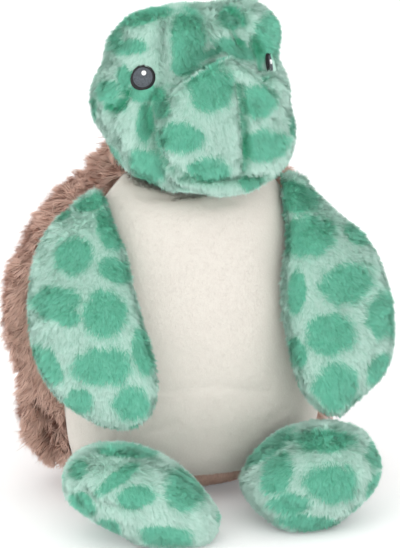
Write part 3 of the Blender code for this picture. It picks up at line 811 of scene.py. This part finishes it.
# %% The spots that show
SPOTS = {
    "head": (
        (143, 19, 28, 9, -12), (131, 48, 19, 8, 0), (119, 38, 7, 12, 0), (188, 41, 17, 29, 0),
        (185, 66, 14, 12, 0), (233, 49, 24, 9, 22), (228, 20, 12, 11, 0), (266, 37, 13, 26, 0),
        (211, 54, 17, 5, -22), (210, 90, 24, 23, -30), (257, 101, 17, 17, 0), (263, 145, 23, 17, -10), (183, 138, 23, 15, 0),
        (209, 170, 21, 14, 0), (253, 183, 16, 6, 0), (149, 165, 21, 15, 38), (112, 151, 17, 7, 50),
        (146, 124, 8, 21, 0), (163, 108, 9, 12, 0), (146, 94, 21, 9, 8), (126, 78, 7, 14, 0),
        (110, 92, 12, 10, 0), (118, 106, 11, 7, 0), (96, 110, 3, 12, 0), (183, 191, 14, 4, 0),
        (293, 91, 5, 12, 0), (290, 125, 4, 10, 0),
    ),
    "arm_right": (
        (93, 203, 15, 7, -20), (66, 216, 9, 4, -25), (111, 230, 13, 21, -20), (75, 255, 20, 19, 0),
        (115, 269, 18, 12, 22), (58, 301, 24, 16, 0), (71, 316, 11, 9, 0), (106, 312, 21, 24, 0),
        (103, 364, 31, 19, 0), (143, 349, 11, 24, -10), (51, 362, 11, 22, -30), (131, 400, 19, 17, 0),
        (80, 397, 16, 12, 0), (142, 311, 4, 14, 0), (137, 422, 8, 3, 0),
    ),
    "arm_left": (
        (293, 197, 25, 15, 15), (307, 236, 28, 21, -5), (353, 234, 15, 8, 40), (345, 281, 27, 21, -15),
        (380, 313, 17, 24, 8), (296, 291, 9, 22, 0), (328, 332, 24, 21, 0), (375, 365, 8, 19, 30),
        (297, 350, 8, 16, -20), (334, 384, 23, 23, 0),
    ),
    "leg_right": (
        (128, 451, 30, 6, 4), (82, 466, 10, 8, -30), (118, 475, 24, 7, -37), (136, 492, 20, 11, -10),
        (183, 485, 22, 20, 25), (167, 530, 28, 11, 5), (110, 523, 14, 11, 25), (85, 499, 11, 14, -30),
        (219, 511, 6, 10, 0), (65, 468, 5, 12, 0),
    ),
    "leg_left": (
        (324, 440, 27, 11, 0), (271, 447, 32, 8, -35), (278, 472, 14, 21, 15), (330, 480, 27, 19, 0),
        (290, 499, 22, 11, 0), (311, 518, 35, 8, 5), (372, 452, 10, 14, 0), (372, 483, 9, 16, 20),
        (356, 511, 9, 16, 30),
    ),
}
HIDDEN_SPOT_SPACING = 27 * MM
HIDDEN_SPOT_RADIUS = 10 * MM
SPOT_EDGE = 0.24  # the feathered edge of a spot, as a share of its radius
SPOT_WANDER = 0.16  # how far a spot's edge strays from its ellipse, in the same shares


def scattered(points, spacing, seed):
    """Some of the points, none nearer to another than spacing, in a fixed random order."""
    order = np.random.default_rng(seed).permutation(len(points))
    kept = []
    for index in order:
        point = points[index]
        if all((point - other).length > spacing for other in kept):
            kept.append(point)
    return kept


def print_spots(form, name, seed):
    """Gives each point of a form its depth of print: 0 on mint, 1 inside a spot."""
    form.normal_update()
    points = np.array([vert.co for vert in form.verts])
    normals = np.array([vert.normal for vert in form.verts])
    from_origin = points + np.array([0, SEAM_AHEAD, 0])
    px = ORIGIN_PIXEL[0] + from_origin @ np.array(across_view) / PIXEL
    py = ORIGIN_PIXEL[1] - from_origin @ np.array(up_view) / PIXEL
    shown = np.full(len(points), -1.0)
    for x, y, half_width, half_height, turn in SPOTS[name]:
        c, s = math.cos(math.radians(turn)), math.sin(math.radians(turn))
        dx, dy = px - x, py - y
        distance = np.hypot((dx * c + dy * s) / half_width, (dy * c - dx * s) / half_height)
        shown = np.maximum(shown, 1 - distance)
    facing = -normals @ np.array(into_view)
    away = [Vector(point) for point, f in zip(points, facing) if f < -0.1]
    hidden = np.full(len(points), -1.0)
    for centre in scattered(away, HIDDEN_SPOT_SPACING, seed):
        distance = np.linalg.norm(points - np.array(centre), axis=1) / HIDDEN_SPOT_RADIUS
        hidden = np.maximum(hidden, 1 - distance)
    share = np.clip(facing / 0.15 + 0.5, 0, 1)
    depth = shown * share + hidden * (1 - share)
    depth += lattice_noise(points, 5 * MM, seed) * SPOT_WANDER
    layer = form.verts.layers.float.new("spot")
    for vert, value in zip(form.verts, np.clip(0.5 + depth / SPOT_EDGE, -1, 2)):
        vert[layer] = value


print_spots(head_form, "head", 21)
for side in SIDES:
    print_spots(arms[side], "arm_" + side, 22)
    print_spots(legs[side], "leg_" + side, 23)
print("spots:", sum(len(spots) for spots in SPOTS.values()), "in view")

# %% [markdown]
# ## Panels
# Each panel of fabric is the part of a form between its seams, given the thickness of the cloth.
# The map of its turns and rows is kept for the textures.


# %% Finish a piece
def finish_piece(mesh, name, look, body, slot, replaced):
    made = bpy.data.objects.new(name, mesh)
    mesh.materials.append(look)
    collection.objects.link(made)
    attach(made, body)
    if replaced:
        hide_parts(*replaced)
    return made


FABRIC = 1.1 * MM
# Painted shade: the pile's roots and the backing are painted this far towards the root colour, and the bottoms of seams
# fully.
PAINTED_ROOT_SHADE = 0.3  # how deep in shade the pile's roots are; 1 is the bottom of a seam


def map_face(face, turn, row, rows, uv):
    """Lays a face out by its turns and rows, whole even where the turns start again."""
    turns = [vert[turn] for vert in face.verts if 1e-4 < vert[row] < rows - 1e-4]
    first = turns[0]
    turns = [first + (value - first + math.pi) % (2 * math.pi) - math.pi for value in turns]
    middle = sum(turns) / len(turns)
    for loop in face.loops:
        vert = loop.vert
        at = middle
        if 1e-4 < vert[row] < rows - 1e-4:
            at = middle + (vert[turn] - middle + math.pi) % (2 * math.pi) - math.pi
        loop[uv].uv = (at / (2 * math.pi) + 0.5, vert[row] / rows)


def panel_of(form, rows, rule, name):
    """A copy of the faces of a form whose rule gives this name, with the map of their textures."""
    panel = form.copy()
    turn = panel.verts.layers.float["turn"]
    row = panel.verts.layers.float["row"]
    uv = panel.loops.layers.uv.new("OFBake")
    others = []
    for face in panel.faces:
        map_face(face, turn, row, rows, uv)
        middle = sum((loop[uv].uv for loop in face.loops), Vector((0, 0))) / len(face.loops)
        at = (middle.x - 0.5) * 2 * math.pi
        at = (at + math.pi) % (2 * math.pi) - math.pi
        if rule(at, middle.y * rows) != name:
            others.append(face)
    bmesh.ops.delete(panel, geom=others, context="FACES")
    return panel


def fabric_panel(panel, node_name, look, body, slot):
    mesh = bpy.data.meshes.new(node_name + "_fabric")
    panel.to_mesh(mesh)
    mesh.shade_smooth()
    # Painted shade: the backing is painted as dark as the pile's roots, and darker still where a seam pinches it.
    pinched = panel.verts.layers.float.get("groove")
    shade = [PAINTED_ROOT_SHADE + (1 - PAINTED_ROOT_SHADE) * (vert[pinched] if pinched else 0) for vert in panel.verts]
    painted_shade_attribute = mesh.attributes.new("root", "FLOAT", "POINT")
    painted_shade_attribute.data.foreach_set("value", shade)
    made = finish_piece(mesh, node_name + "_fabric", look, body, slot, [node_name])
    thicken = made.modifiers.new("Fabric", "SOLIDIFY")
    thicken.thickness = FABRIC
    thicken.offset = -1
    return made


def stuffing_core(form, node_name, body):
    """The stuffing: the form moved in by less where it is thin, so that it stays inside."""
    core = form.copy()
    core.normal_update()
    skin = BVHTree.FromBMesh(core)
    moves = []
    for vert in core.verts:
        far = skin.ray_cast(vert.co - vert.normal * 0.1 * MM, -vert.normal)[3] or 0
        moves.append(vert.normal * min(CORE_DEPTH, far / 3))
    for vert, move in zip(core.verts, moves):
        vert.co -= move
    mesh = bpy.data.meshes.new(node_name + "_fill")
    core.to_mesh(mesh)
    core.free()
    mesh.shade_smooth()
    made = finish_piece(mesh, node_name + "_fill", stuffing, body, "stuffing", [node_name])
    return made


CORE_DEPTH = 2.4 * MM

# %% [markdown]
# ## Pile
# The pile is what makes plush look like plush. Each blade is one thin upright triangle, or three
# on the long pile of the shell, where blades also bend. They stand on a panel, lean the way the
# fabric was brushed, and cling together in tufts. A blade takes its colour from its root, and a
# little chance there feathers the edges of the spots.
# Each blade's colour is also painted darker towards its foot, between locks and in pinched seams, as shade deep in the
# pile.

# %% Grow pile on a panel
MOST_FACES = 190_000
PRESSED = 0.4 * MM  # blades rooted lower than this lie flat under the toy, and are left out
UNDERSIDE = 0.06 * MM  # how far a blade's underside is from its upper side, at the root
LOOSE_SHARE = 0.06  # blades that stand out of their lock, which blur the outline
THIN = 1.0


def triangles_of(panel):
    """The panel's triangles as arrays: corners, corner normals, map places and depth of print."""
    panel.normal_update()
    uv = panel.loops.layers.uv["OFBake"]
    spot = panel.verts.layers.float.get("spot")
    groove = panel.verts.layers.float.get("groove")
    corners, normals, places, prints, grooves = [], [], [], [], []
    for tri in panel.calc_loop_triangles():
        corners.append([loop.vert.co[:] for loop in tri])
        normals.append([loop.vert.normal[:] for loop in tri])
        places.append([loop[uv].uv[:] for loop in tri])
        prints.append([loop.vert[spot] if spot else 0.0 for loop in tri])
        grooves.append([loop.vert[groove] if groove else 0.0 for loop in tri])
    return [np.array(values) for values in (corners, normals, places, prints, grooves)]


def normalised(vectors):
    return vectors / np.maximum(np.linalg.norm(vectors, axis=1, keepdims=True), 1e-12)


def parted(corners, grooves):
    """The way out of the nearest pinched seam, on each triangle: down the slope of its pinch."""
    along, beside = corners[:, 1] - corners[:, 0], corners[:, 2] - corners[:, 0]
    upright = np.cross(along, beside)
    slope = np.cross(upright, along) * (grooves[:, 2] - grooves[:, 0])[:, None]
    slope -= np.cross(upright, beside) * (grooves[:, 1] - grooves[:, 0])[:, None]
    return -normalised(slope)


def locks_of(roots, spacing, area):
    """For each blade, the blade in the middle of the lock that it clings to."""
    count = min(len(roots), max(1, int(area / spacing**2)))
    tree = KDTree(count)
    for index in range(count):
        tree.insert(roots[index], index)
    tree.balance()
    return np.array([tree.find(point)[1] for point in roots])


def grow_pile(
    panel, name, look, body, slot, density, length, width, lean, lock, cling, tuft, stray, bent, underside, source, soft, seed, clear=None
):
    """Blades of pile over a panel. density is blades per square millimetre. They lean away from
    the point source, and the tips of a lock cling together by the share cling. soft is how far
    a blade is shaded as the surface that it stands on."""
    rng = np.random.default_rng(seed)
    corners, normals, places, prints, grooves = triangles_of(panel)
    areas = np.linalg.norm(np.cross(corners[:, 1] - corners[:, 0], corners[:, 2] - corners[:, 0]), axis=1) / 2
    count = int(min(areas.sum() / MM**2 * density, MOST_FACES / ((3 if bent else 1) + underside)) * THIN)
    chosen = np.searchsorted(np.cumsum(areas) / areas.sum(), rng.random(count)).clip(0, len(areas) - 1)
    shares = rng.random((count, 2))
    shares = np.where(shares.sum(1, keepdims=True) > 1, 1 - shares, shares)
    weights = np.column_stack([1 - shares.sum(1), shares])[:, :, None]
    root = (corners[chosen] * weights).sum(1)
    out = normalised((normals[chosen] * weights).sum(1))
    at = (places[chosen] * weights).sum(1)
    spot = (prints[chosen] * weights[:, :, 0]).sum(1)
    spot = np.clip(spot + rng.normal(0, 0.4, count), 0, 1)
    # How far a seam pinches the pile here: it parts and shortens the blades, and paints shade into them.
    closed = (grooves[chosen] * weights[:, :, 0]).sum(1)
    parting = parted(corners, grooves)[chosen] * np.clip(closed * 2, 0, 1)[:, None]
    leader = locks_of(root, lock, areas.sum())
    from_middle = (root - root[leader]) / lock
    # How far a blade stands from the middle of its lock; blades between locks get painted shade by it.
    between = np.clip(np.linalg.norm(from_middle, axis=1), 0, 1) ** 2
    brushed = normalised(root - np.array(source))
    brushed = brushed - out * (brushed * out).sum(1, keepdims=True)
    lying = np.clip(np.linalg.norm(brushed, axis=1) * 1.5, 0.1, 1)
    wander = np.column_stack([lattice_noise(root, tuft, seed + step) for step in (1, 2, 3)])
    brushed = normalised(brushed) + parting * 2.5 + (wander + rng.normal(0, 0.3, (count, 3)) + rng.normal(0, 0.3, (count, 3))[leader]) * stray
    brushed = normalised(brushed - out * (brushed * out).sum(1, keepdims=True))
    tilt = rng.normal(0, 0.15, count) + rng.normal(0, 0.2, count)[leader] + lattice_noise(root, tuft * 1.7, seed + 5) * 0.15
    tilt = np.radians(lean) + tilt * stray
    tilt = np.clip(tilt * lying, 0.05, 1.35)[:, None]
    along = out * np.cos(tilt) + brushed * np.sin(tilt)
    beside = normalised(np.cross(brushed, out))
    tall = length * (1 + 0.15 * rng.normal(0, 1, count) + 0.2 * rng.normal(0, 1, count)[leader] * min(1, stray))
    loose = rng.random(count) < LOOSE_SHARE * stray
    tall = np.where(loose, tall * 1.35, tall)
    tall = tall * (1 - 0.6 * closed)
    keep = root[:, 2] > PRESSED
    if clear:
        away = np.linalg.norm(root - np.array(clear[0]), axis=1)
        keep &= away > clear[1]
        tall = tall * np.clip((away - clear[1]) / (3 * MM) * 0.6 + 0.4, 0.4, 1)
    leader = (np.cumsum(keep) - 1).clip(0)[leader]
    root, along, beside, tall, at, spot, out, brushed, tilt, leader, loose, from_middle, between, closed = (
        values[keep]
        for values in (root, along, beside, tall, at, spot, out, brushed, tilt, leader, loose, from_middle, between, closed)
    )
    count = len(root)
    tall = np.maximum(tall, 0.3 * length)[:, None]
    foot = root - out * 0.2 * MM
    half = beside * (width / 2)
    upper = np.cross(beside, along)
    if bent:
        knee = foot + along * tall * 0.55
        further = np.clip(tilt + 0.45, 0, 1.5)
        tip = knee + (out * np.cos(further) + brushed * np.sin(further)) * tall * 0.5
        clung = np.where(loose, 0, cling)[:, None]
        knee = knee + (knee[leader] - knee) * clung * 0.4
        tip = tip + (tip[leader] - tip) * clung
        points = [foot - half, foot + half, knee - half * 0.75, knee + half * 0.75, tip]
        pattern = [[0, 1, 2], [1, 3, 2], [2, 3, 4]]
        # depth is each corner's share of the painted root shade: full at the foot, none at the tip.
        depth = [1, 1, 0.45, 0.45, 0]
        lift = [[0, 0], [1, 0], [0, 1], [1, 1], [0.5, 2]]
    else:
        tip = foot + along * tall
        tip = tip + (tip[leader] - tip) * np.where(loose, 0, cling)[:, None]
        points = [foot - half, foot + half, tip]
        pattern = [[0, 1, 2]]
        # depth is each corner's share of the painted root shade: full at the foot, none at the tip.
        depth = [1, 1, 0]
        lift = [[0, 0], [1, 0], [0.5, 1]]
    shown_as = [normalised(out * soft + upper * (1 - soft) + from_middle * cling * 0.6)] * len(points)
    if underside:
        pattern += [[len(points) + 1, len(points), len(points) + 2]]
        points += [foot - half - upper * UNDERSIDE, foot + half - upper * UNDERSIDE, tip]
        depth += [1, 1, 0]
        lift += [[0, 0], [1, 0], lift[-1]]
        shown_as += [normalised(out - upper + brushed * 0.2)] * 3
    points, pattern, lift = np.stack(points, 1), np.array(pattern), np.array(lift)
    per = points.shape[1]
    points[:, :, 2] = np.maximum(points[:, :, 2], 0)
    faces = (pattern[None] + (np.arange(count) * per)[:, None, None]).reshape(-1, 3)
    mesh = bpy.data.meshes.new(name)
    mesh.vertices.add(count * per)
    mesh.vertices.foreach_set("co", points.reshape(-1).astype(np.float32))
    mesh.loops.add(len(faces) * 3)
    mesh.loops.foreach_set("vertex_index", faces.reshape(-1).astype(np.int32))
    mesh.polygons.add(len(faces))
    mesh.polygons.foreach_set("loop_start", np.arange(len(faces), dtype=np.int32) * 3)
    mesh.update(calc_edges=True)
    layer = mesh.attributes.new("spot", "FLOAT", "POINT")
    layer.data.foreach_set("value", np.repeat(spot, per).astype(np.float32))
    # Painted shade in the 'root' attribute: darker at each blade's foot, by a random amount from blade to blade,
    # between locks, and fully dark where a seam pinches the pile.
    layer = mesh.attributes.new("root", "FLOAT", "POINT")
    shade = np.tile(depth, count) * np.repeat(rng.uniform(0.4, 1.4, count), per) * PAINTED_ROOT_SHADE
    shade += np.repeat(between * 0.3 * cling + closed, per)
    layer.data.foreach_set("value", np.clip(shade, 0, 1).astype(np.float32))
    mesh.normals_split_custom_set_from_vertices(np.stack(shown_as, 1).reshape(-1, 3).tolist())
    uv = mesh.uv_layers.new(name="OFBake")
    spread = 0.003
    mapped = at[:, None, :] + (lift[None] - 0.5) * spread
    uv.data.foreach_set("uv", mapped.reshape(-1, 2)[faces.reshape(-1)].reshape(-1).astype(np.float32))
    made = finish_piece(mesh, name, look, body, slot, [])
    print(f"{name}: {count} blades, {len(faces)} faces")
    return made


# %% [markdown]
# ## Dress the body
# Cream on the belly, the longer brown on the shell and the seat.


# %% Belly, shell and seat
def body_rule(turn, row):
    if row < SEAT_ROW:
        return "seat_panel"
    if abs(turn) < BELLY_TURN:
        return "belly_panel"
    return "shell_left" if turn > 0 else "shell_right"


BELLY_PILE = dict(density=6.5, length=1.1 * MM, width=0.38 * MM, lean=66, lock=1.2 * MM, cling=0.15, tuft=12 * MM, stray=0.15, bent=False, underside=False, soft=0.96)
SHELL_PILE = dict(density=4.2, length=6.2 * MM, width=0.38 * MM, lean=40, lock=2.6 * MM, cling=0.28, tuft=7 * MM, stray=1.1, bent=True, underside=True, soft=0.45)
SEAT_PILE = dict(density=5, length=2 * MM, width=0.32 * MM, lean=60, lock=1.6 * MM, cling=0.2, tuft=5 * MM, stray=0.6, bent=False, underside=True, soft=0.6)
BELLY_BRUSHED_FROM = (0, -30 * MM, 500 * MM)
SHELL_BRUSHED_FROM = (0, 0, 215 * MM)
SEAT_BRUSHED_FROM = (0, 0, 200 * MM)
BODY_PANELS = {
    "belly_panel": (cream_plush, "cream_plush", BELLY_PILE | {"source": BELLY_BRUSHED_FROM}),
    "shell_right": (brown_plush, "brown_plush", SHELL_PILE | {"source": SHELL_BRUSHED_FROM}),
    "shell_left": (brown_plush, "brown_plush", SHELL_PILE | {"source": SHELL_BRUSHED_FROM}),
    "seat_panel": (brown_plush, "brown_plush", SEAT_PILE | {"source": SEAT_BRUSHED_FROM}),
}
for index, (name, (look, slot, pile)) in enumerate(BODY_PANELS.items()):
    panel = panel_of(body_form, BODY_ROWS, body_rule, name)
    fabric_panel(panel, name, look, "torso", slot)
    grow_pile(panel, name + "_pile", look, "torso", slot, seed=30 + index, **pile)
    panel.free()
stuffing_core(body_form, "body_stuffing", "torso")

# %% [markdown]
# ## Dress the head, arms and legs
# All of them wear the same spotted mint pile, about 3 mm long.

# %% Green pile
SHORT_PILE = dict(density=8.5, length=3.0 * MM, width=0.32 * MM, lean=42, lock=1.6 * MM, cling=0.2, tuft=4.5 * MM, stray=0.55, bent=False, underside=True, soft=0.55)


def head_rule(turn, row):
    side = "left" if turn > 0 else "right"
    if row < SNOUT_ROW:
        return "chin_panel" if abs(turn) > MOUTH_TURN else "snout_" + side
    return "forehead_gusset" if abs(turn) < GUSSET_TURN else "head_side_" + side


crown = head_frame @ Vector((0, 20 * MM, HEAD_UP + 14 * MM))
shoulders = {side: arm_tops[side] + Vector((0, 5 * MM, 6 * MM)) for side in SIDES}
insteps = {side: leg_tops[side] + Vector((0, 2 * MM, 5 * MM)) for side in SIDES}


def dress(form, rows, rule, names, body, core, source, seed, clear=None):
    for index, name in enumerate(names):
        panel = panel_of(form, rows, rule, name)
        fabric_panel(panel, name, green_plush, body, "green_plush")
        bare = clear.get(name) if clear else None
        grow_pile(
            panel, name + "_pile", green_plush, body, "green_plush", seed=seed + index, clear=bare, source=source, **SHORT_PILE
        )
        panel.free()
    stuffing_core(form, core, body)


# %% Arms and legs
def arm_rule(side):
    def rule(turn, row):
        return ("arm_front_" if abs(turn) < math.pi / 2 else "arm_back_") + side

    return rule


def leg_rule(side):
    def rule(turn, row):
        return ("foot_sole_" if row > SOLE_ROW else "foot_upper_") + side

    return rule


for side in SIDES:
    names = ("arm_front_" + side, "arm_back_" + side)
    dress(arms[side], LIMB_ROWS, arm_rule(side), names, "arm_" + side, "arm_stuffing_" + side, shoulders[side], 50)
    names = ("foot_sole_" + side, "foot_upper_" + side)
    dress(legs[side], LIMB_ROWS, leg_rule(side), names, "leg_" + side, "foot_stuffing_" + side, insteps[side], 60)

# %% [markdown]
# ## Eyes
# The eyes are satin stitch: threads laid side by side over a little padding, in grey, with a
# black outline that is heavier below, and a white glint. Each thread is a low ridge on one closed
# mesh, so that the light catches it.

# %% Where the eyes are
EYE_RADIUS = 5.2 * MM
EYE_LIFT = 1.2 * MM
EYE_PIXELS = {"right": (144, 80), "left": (268, 66.5)}
EYE_GLINT = {"right": (0.4 * MM, 2.2 * MM), "left": (-1.6 * MM, 1.8 * MM)}
EYE_TOWARD = {"right": None, "left": 0.04}  # how far it faces the camera, where that isn't the form's
EYE_BEND = {"right": 0.5, "left": 0.1}  # how much of the form's curve the stitches follow
THREAD_WIDTH = 0.42 * MM


def eye_frame(side):
    """The eye's middle on the head, and its across, up and out directions."""
    start = picture_point(*EYE_PIXELS[side]) - into_view
    spot, out, _, _ = head_surface.ray_cast(start, into_view)
    if EYE_TOWARD[side]:
        aside = (out + into_view * -out.dot(into_view)).normalized()
        out = aside * math.sqrt(1 - EYE_TOWARD[side] ** 2) - into_view * EYE_TOWARD[side]
    up = head_frame.to_3x3() @ Vector((0, 0, 1))
    across = up.cross(out).normalized()
    return spot, across, out.cross(across).normalized(), out


# %% Stitch a patch
def stitched(name, side, steps, place, look, slot, replaced):
    """A closed patch of thread: a grid of places (across, up, height) on the eye's plane."""
    middle, across, up, out = eye_frame(side)
    patch = bmesh.new()
    grid = [[patch.verts.new(place(i / steps[0], j / steps[1])) for j in range(steps[1] + 1)] for i in range(steps[0] + 1)]
    for i in range(steps[0]):
        for j in range(steps[1]):
            patch.faces.new((grid[i][j], grid[i + 1][j], grid[i + 1][j + 1], grid[i][j + 1]))
    bmesh.ops.remove_doubles(patch, verts=patch.verts, dist=0.01 * MM)
    for vert in patch.verts:
        x, y, height = vert.co
        start = middle + across * x + up * y
        hit = head_surface.ray_cast(start + out * 8 * MM, -out)[0] or start
        base = start + out * (EYE_BEND[side] * (hit - start).dot(out))
        vert.co = base + out * (EYE_LIFT + height)
    patch.normal_update()
    if sum(face.normal.dot(out) for face in patch.faces) < 0:
        bmesh.ops.reverse_faces(patch, faces=patch.faces[:])
    mesh = bpy.data.meshes.new(name)
    patch.to_mesh(mesh)
    patch.free()
    mesh.shade_smooth()
    made = finish_piece(mesh, name, look, "head", slot, [replaced])
    thicken = made.modifiers.new("Thread", "SOLIDIFY")
    thicken.thickness = 1.6 * MM
    thicken.offset = -1
    return made


def ridge(distance):
    """The height of threads laid side by side, at a distance across them."""
    return 0.14 * MM * abs(math.sin(math.pi * distance / THREAD_WIDTH))


def disc_place(radius, centre, dome, lift):
    def place(a, b):
        x = radius * (2 * a - 1) * 0.998
        y = math.sqrt(radius**2 - x**2) * (2 * b - 1)
        height = lift + dome * (1 - (x**2 + y**2) / radius**2) + ridge(x)
        return (centre[0] + x, centre[1] + y, height)

    return place


def ring_place(inner, outer, heavy):
    def place(a, b):
        angle = 2 * math.pi * a
        wide = outer + heavy * max(0, -math.sin(angle + 0.6)) ** 1.5
        radius = inner + (wide - inner) * b
        bulge = math.sin(math.pi * b)
        return (radius * math.cos(angle), radius * math.sin(angle), 0.35 * MM * bulge + ridge(radius * angle))

    return place


for side in SIDES:
    stitched("eye_" + side + "_stitches", side, (110, 24), disc_place(EYE_RADIUS, (0, 0), 0.6 * MM, 0), grey_thread, "grey_thread", "eye_" + side)
    stitched("eye_outline_" + side + "_stitches", side, (330, 8), ring_place(EYE_RADIUS - 0.3 * MM, EYE_RADIUS + 0.4 * MM, 1.2 * MM), black_thread, "black_thread", "eye_outline_" + side)
    stitched("eye_glint_" + side + "_stitches", side, (26, 10), disc_place(1.2 * MM, EYE_GLINT[side], 0.25 * MM, 0.65 * MM), white_thread, "white_thread", "eye_glint_" + side)
print("eyes stitched")

# %% Head panels
HEAD_PANELS = ("snout_right", "snout_left", "chin_panel", "forehead_gusset", "head_side_right", "head_side_left")
bare_round_eyes = {"head_side_" + side: (eye_frame(side)[0], EYE_RADIUS + 0.9 * MM) for side in SIDES}
dress(head_form, HEAD_ROWS, head_rule, HEAD_PANELS, "head", "head_stuffing", crown, 40, bare_round_eyes)

# %% [markdown]
# ## Neck and pouch
# The neck is a ball of the same green plush, nearly hidden between head and body. The bean pouch
# lies in the seat, inside the stuffing.


# %% Neck plug and bean pouch
def lumpy_ball(name, centre, size, look, body, slot, replaced, seed, flat=None):
    ball = bmesh.new()
    bmesh.ops.create_uvsphere(ball, u_segments=64, v_segments=40, radius=1)
    for vert in ball.verts:
        vert.co = Vector(centre) + vert.co * Vector(size)
    ball.normal_update()
    swell(ball, 8 * MM, 0.4 * MM, seed, level=-1)
    if flat is not None:
        for vert in ball.verts:
            vert.co.z = max(vert.co.z, flat)
    mesh = bpy.data.meshes.new(name)
    ball.to_mesh(mesh)
    ball.free()
    mesh.shade_smooth()
    made = finish_piece(mesh, name, look, body, slot, [replaced])
    return made


neck_size = (NECK_RADIUS - 0.4 * MM,) * 3
lumpy_ball("neck_plug_plush", neck_centre, neck_size, green_plush, "neck", "green_plush", "neck_plug", 81)
lumpy_ball(
    "bean_pouch_cloth", (0, 8 * MM, 14 * MM), (39 * MM, 25 * MM, 19 * MM), pouch_cloth, "torso", "bean_pouch", "bean_pouch", 82, 5.5 * MM
)

# %% [markdown]
# ## Floor and light
# A pale floor that keeps the toy's shadow, a white world, and one large soft lamp above and to
# the left, as in the photograph.

# %% Floor, world and lamp
FLOOR_SIZE = 60.0
FLOOR_GLOW = 0.16  # for the camera alone: it lifts the paper to white around the shadow
floor_mesh = bpy.data.meshes.new("floor")
half = FLOOR_SIZE / 2
floor_mesh.from_pydata([(-half, -half, 0), (half, -half, 0), (half, half, 0), (-half, half, 0)], [], [(0, 1, 2, 3)])
floor = bpy.data.objects.new("floor", floor_mesh)
floor.location.z = -0.5 * MM
collection.objects.link(floor)
paper, tree, shader = new_material("white_paper", 0.9, 0.0)
shader.inputs["Base Color"].default_value = linear("#FCFCFC")
shader.inputs["Emission Color"].default_value = (1, 1, 1, 1)
seen = tree.nodes.new("ShaderNodeLightPath").outputs["Is Camera Ray"]
glow = node(tree, "ShaderNodeMath", {"operation": "MULTIPLY"}, {0: seen, 1: FLOOR_GLOW})
tree.links.new(glow.outputs[0], shader.inputs["Emission Strength"])
floor_mesh.materials.append(paper)

world = bpy.data.worlds.new("studio")
bpy.context.scene.world = world
world.use_nodes = True
background = world.node_tree.nodes["Background"]
background.inputs["Color"].default_value = (1, 1, 1, 1)
background.inputs["Strength"].default_value = 1.0

SOFTBOXES = {  # place, side and watts of each
    "key": ((-0.55, -1.1, 1.2), 1.5, 5.1),
    "fill": ((0.3, -1.5, 0.3), 1.3, 5.4),
    "side": ((-1.5, 0.1, 0.4), 1.3, 5.5),
}
for name, (place, side_length, watts) in SOFTBOXES.items():
    lamp = bpy.data.objects.new(name, bpy.data.lights.new(name, "AREA"))
    lamp.data.size = side_length
    lamp.data.energy = watts
    lamp.location = place
    lamp.rotation_mode = "QUATERNION"
    lamp.rotation_quaternion = (Vector((0, 0, 0.12)) - lamp.location).to_track_quat("-Z", "Y")
    collection.objects.link(lamp)
bpy.context.scene.view_settings.view_transform = "Standard"
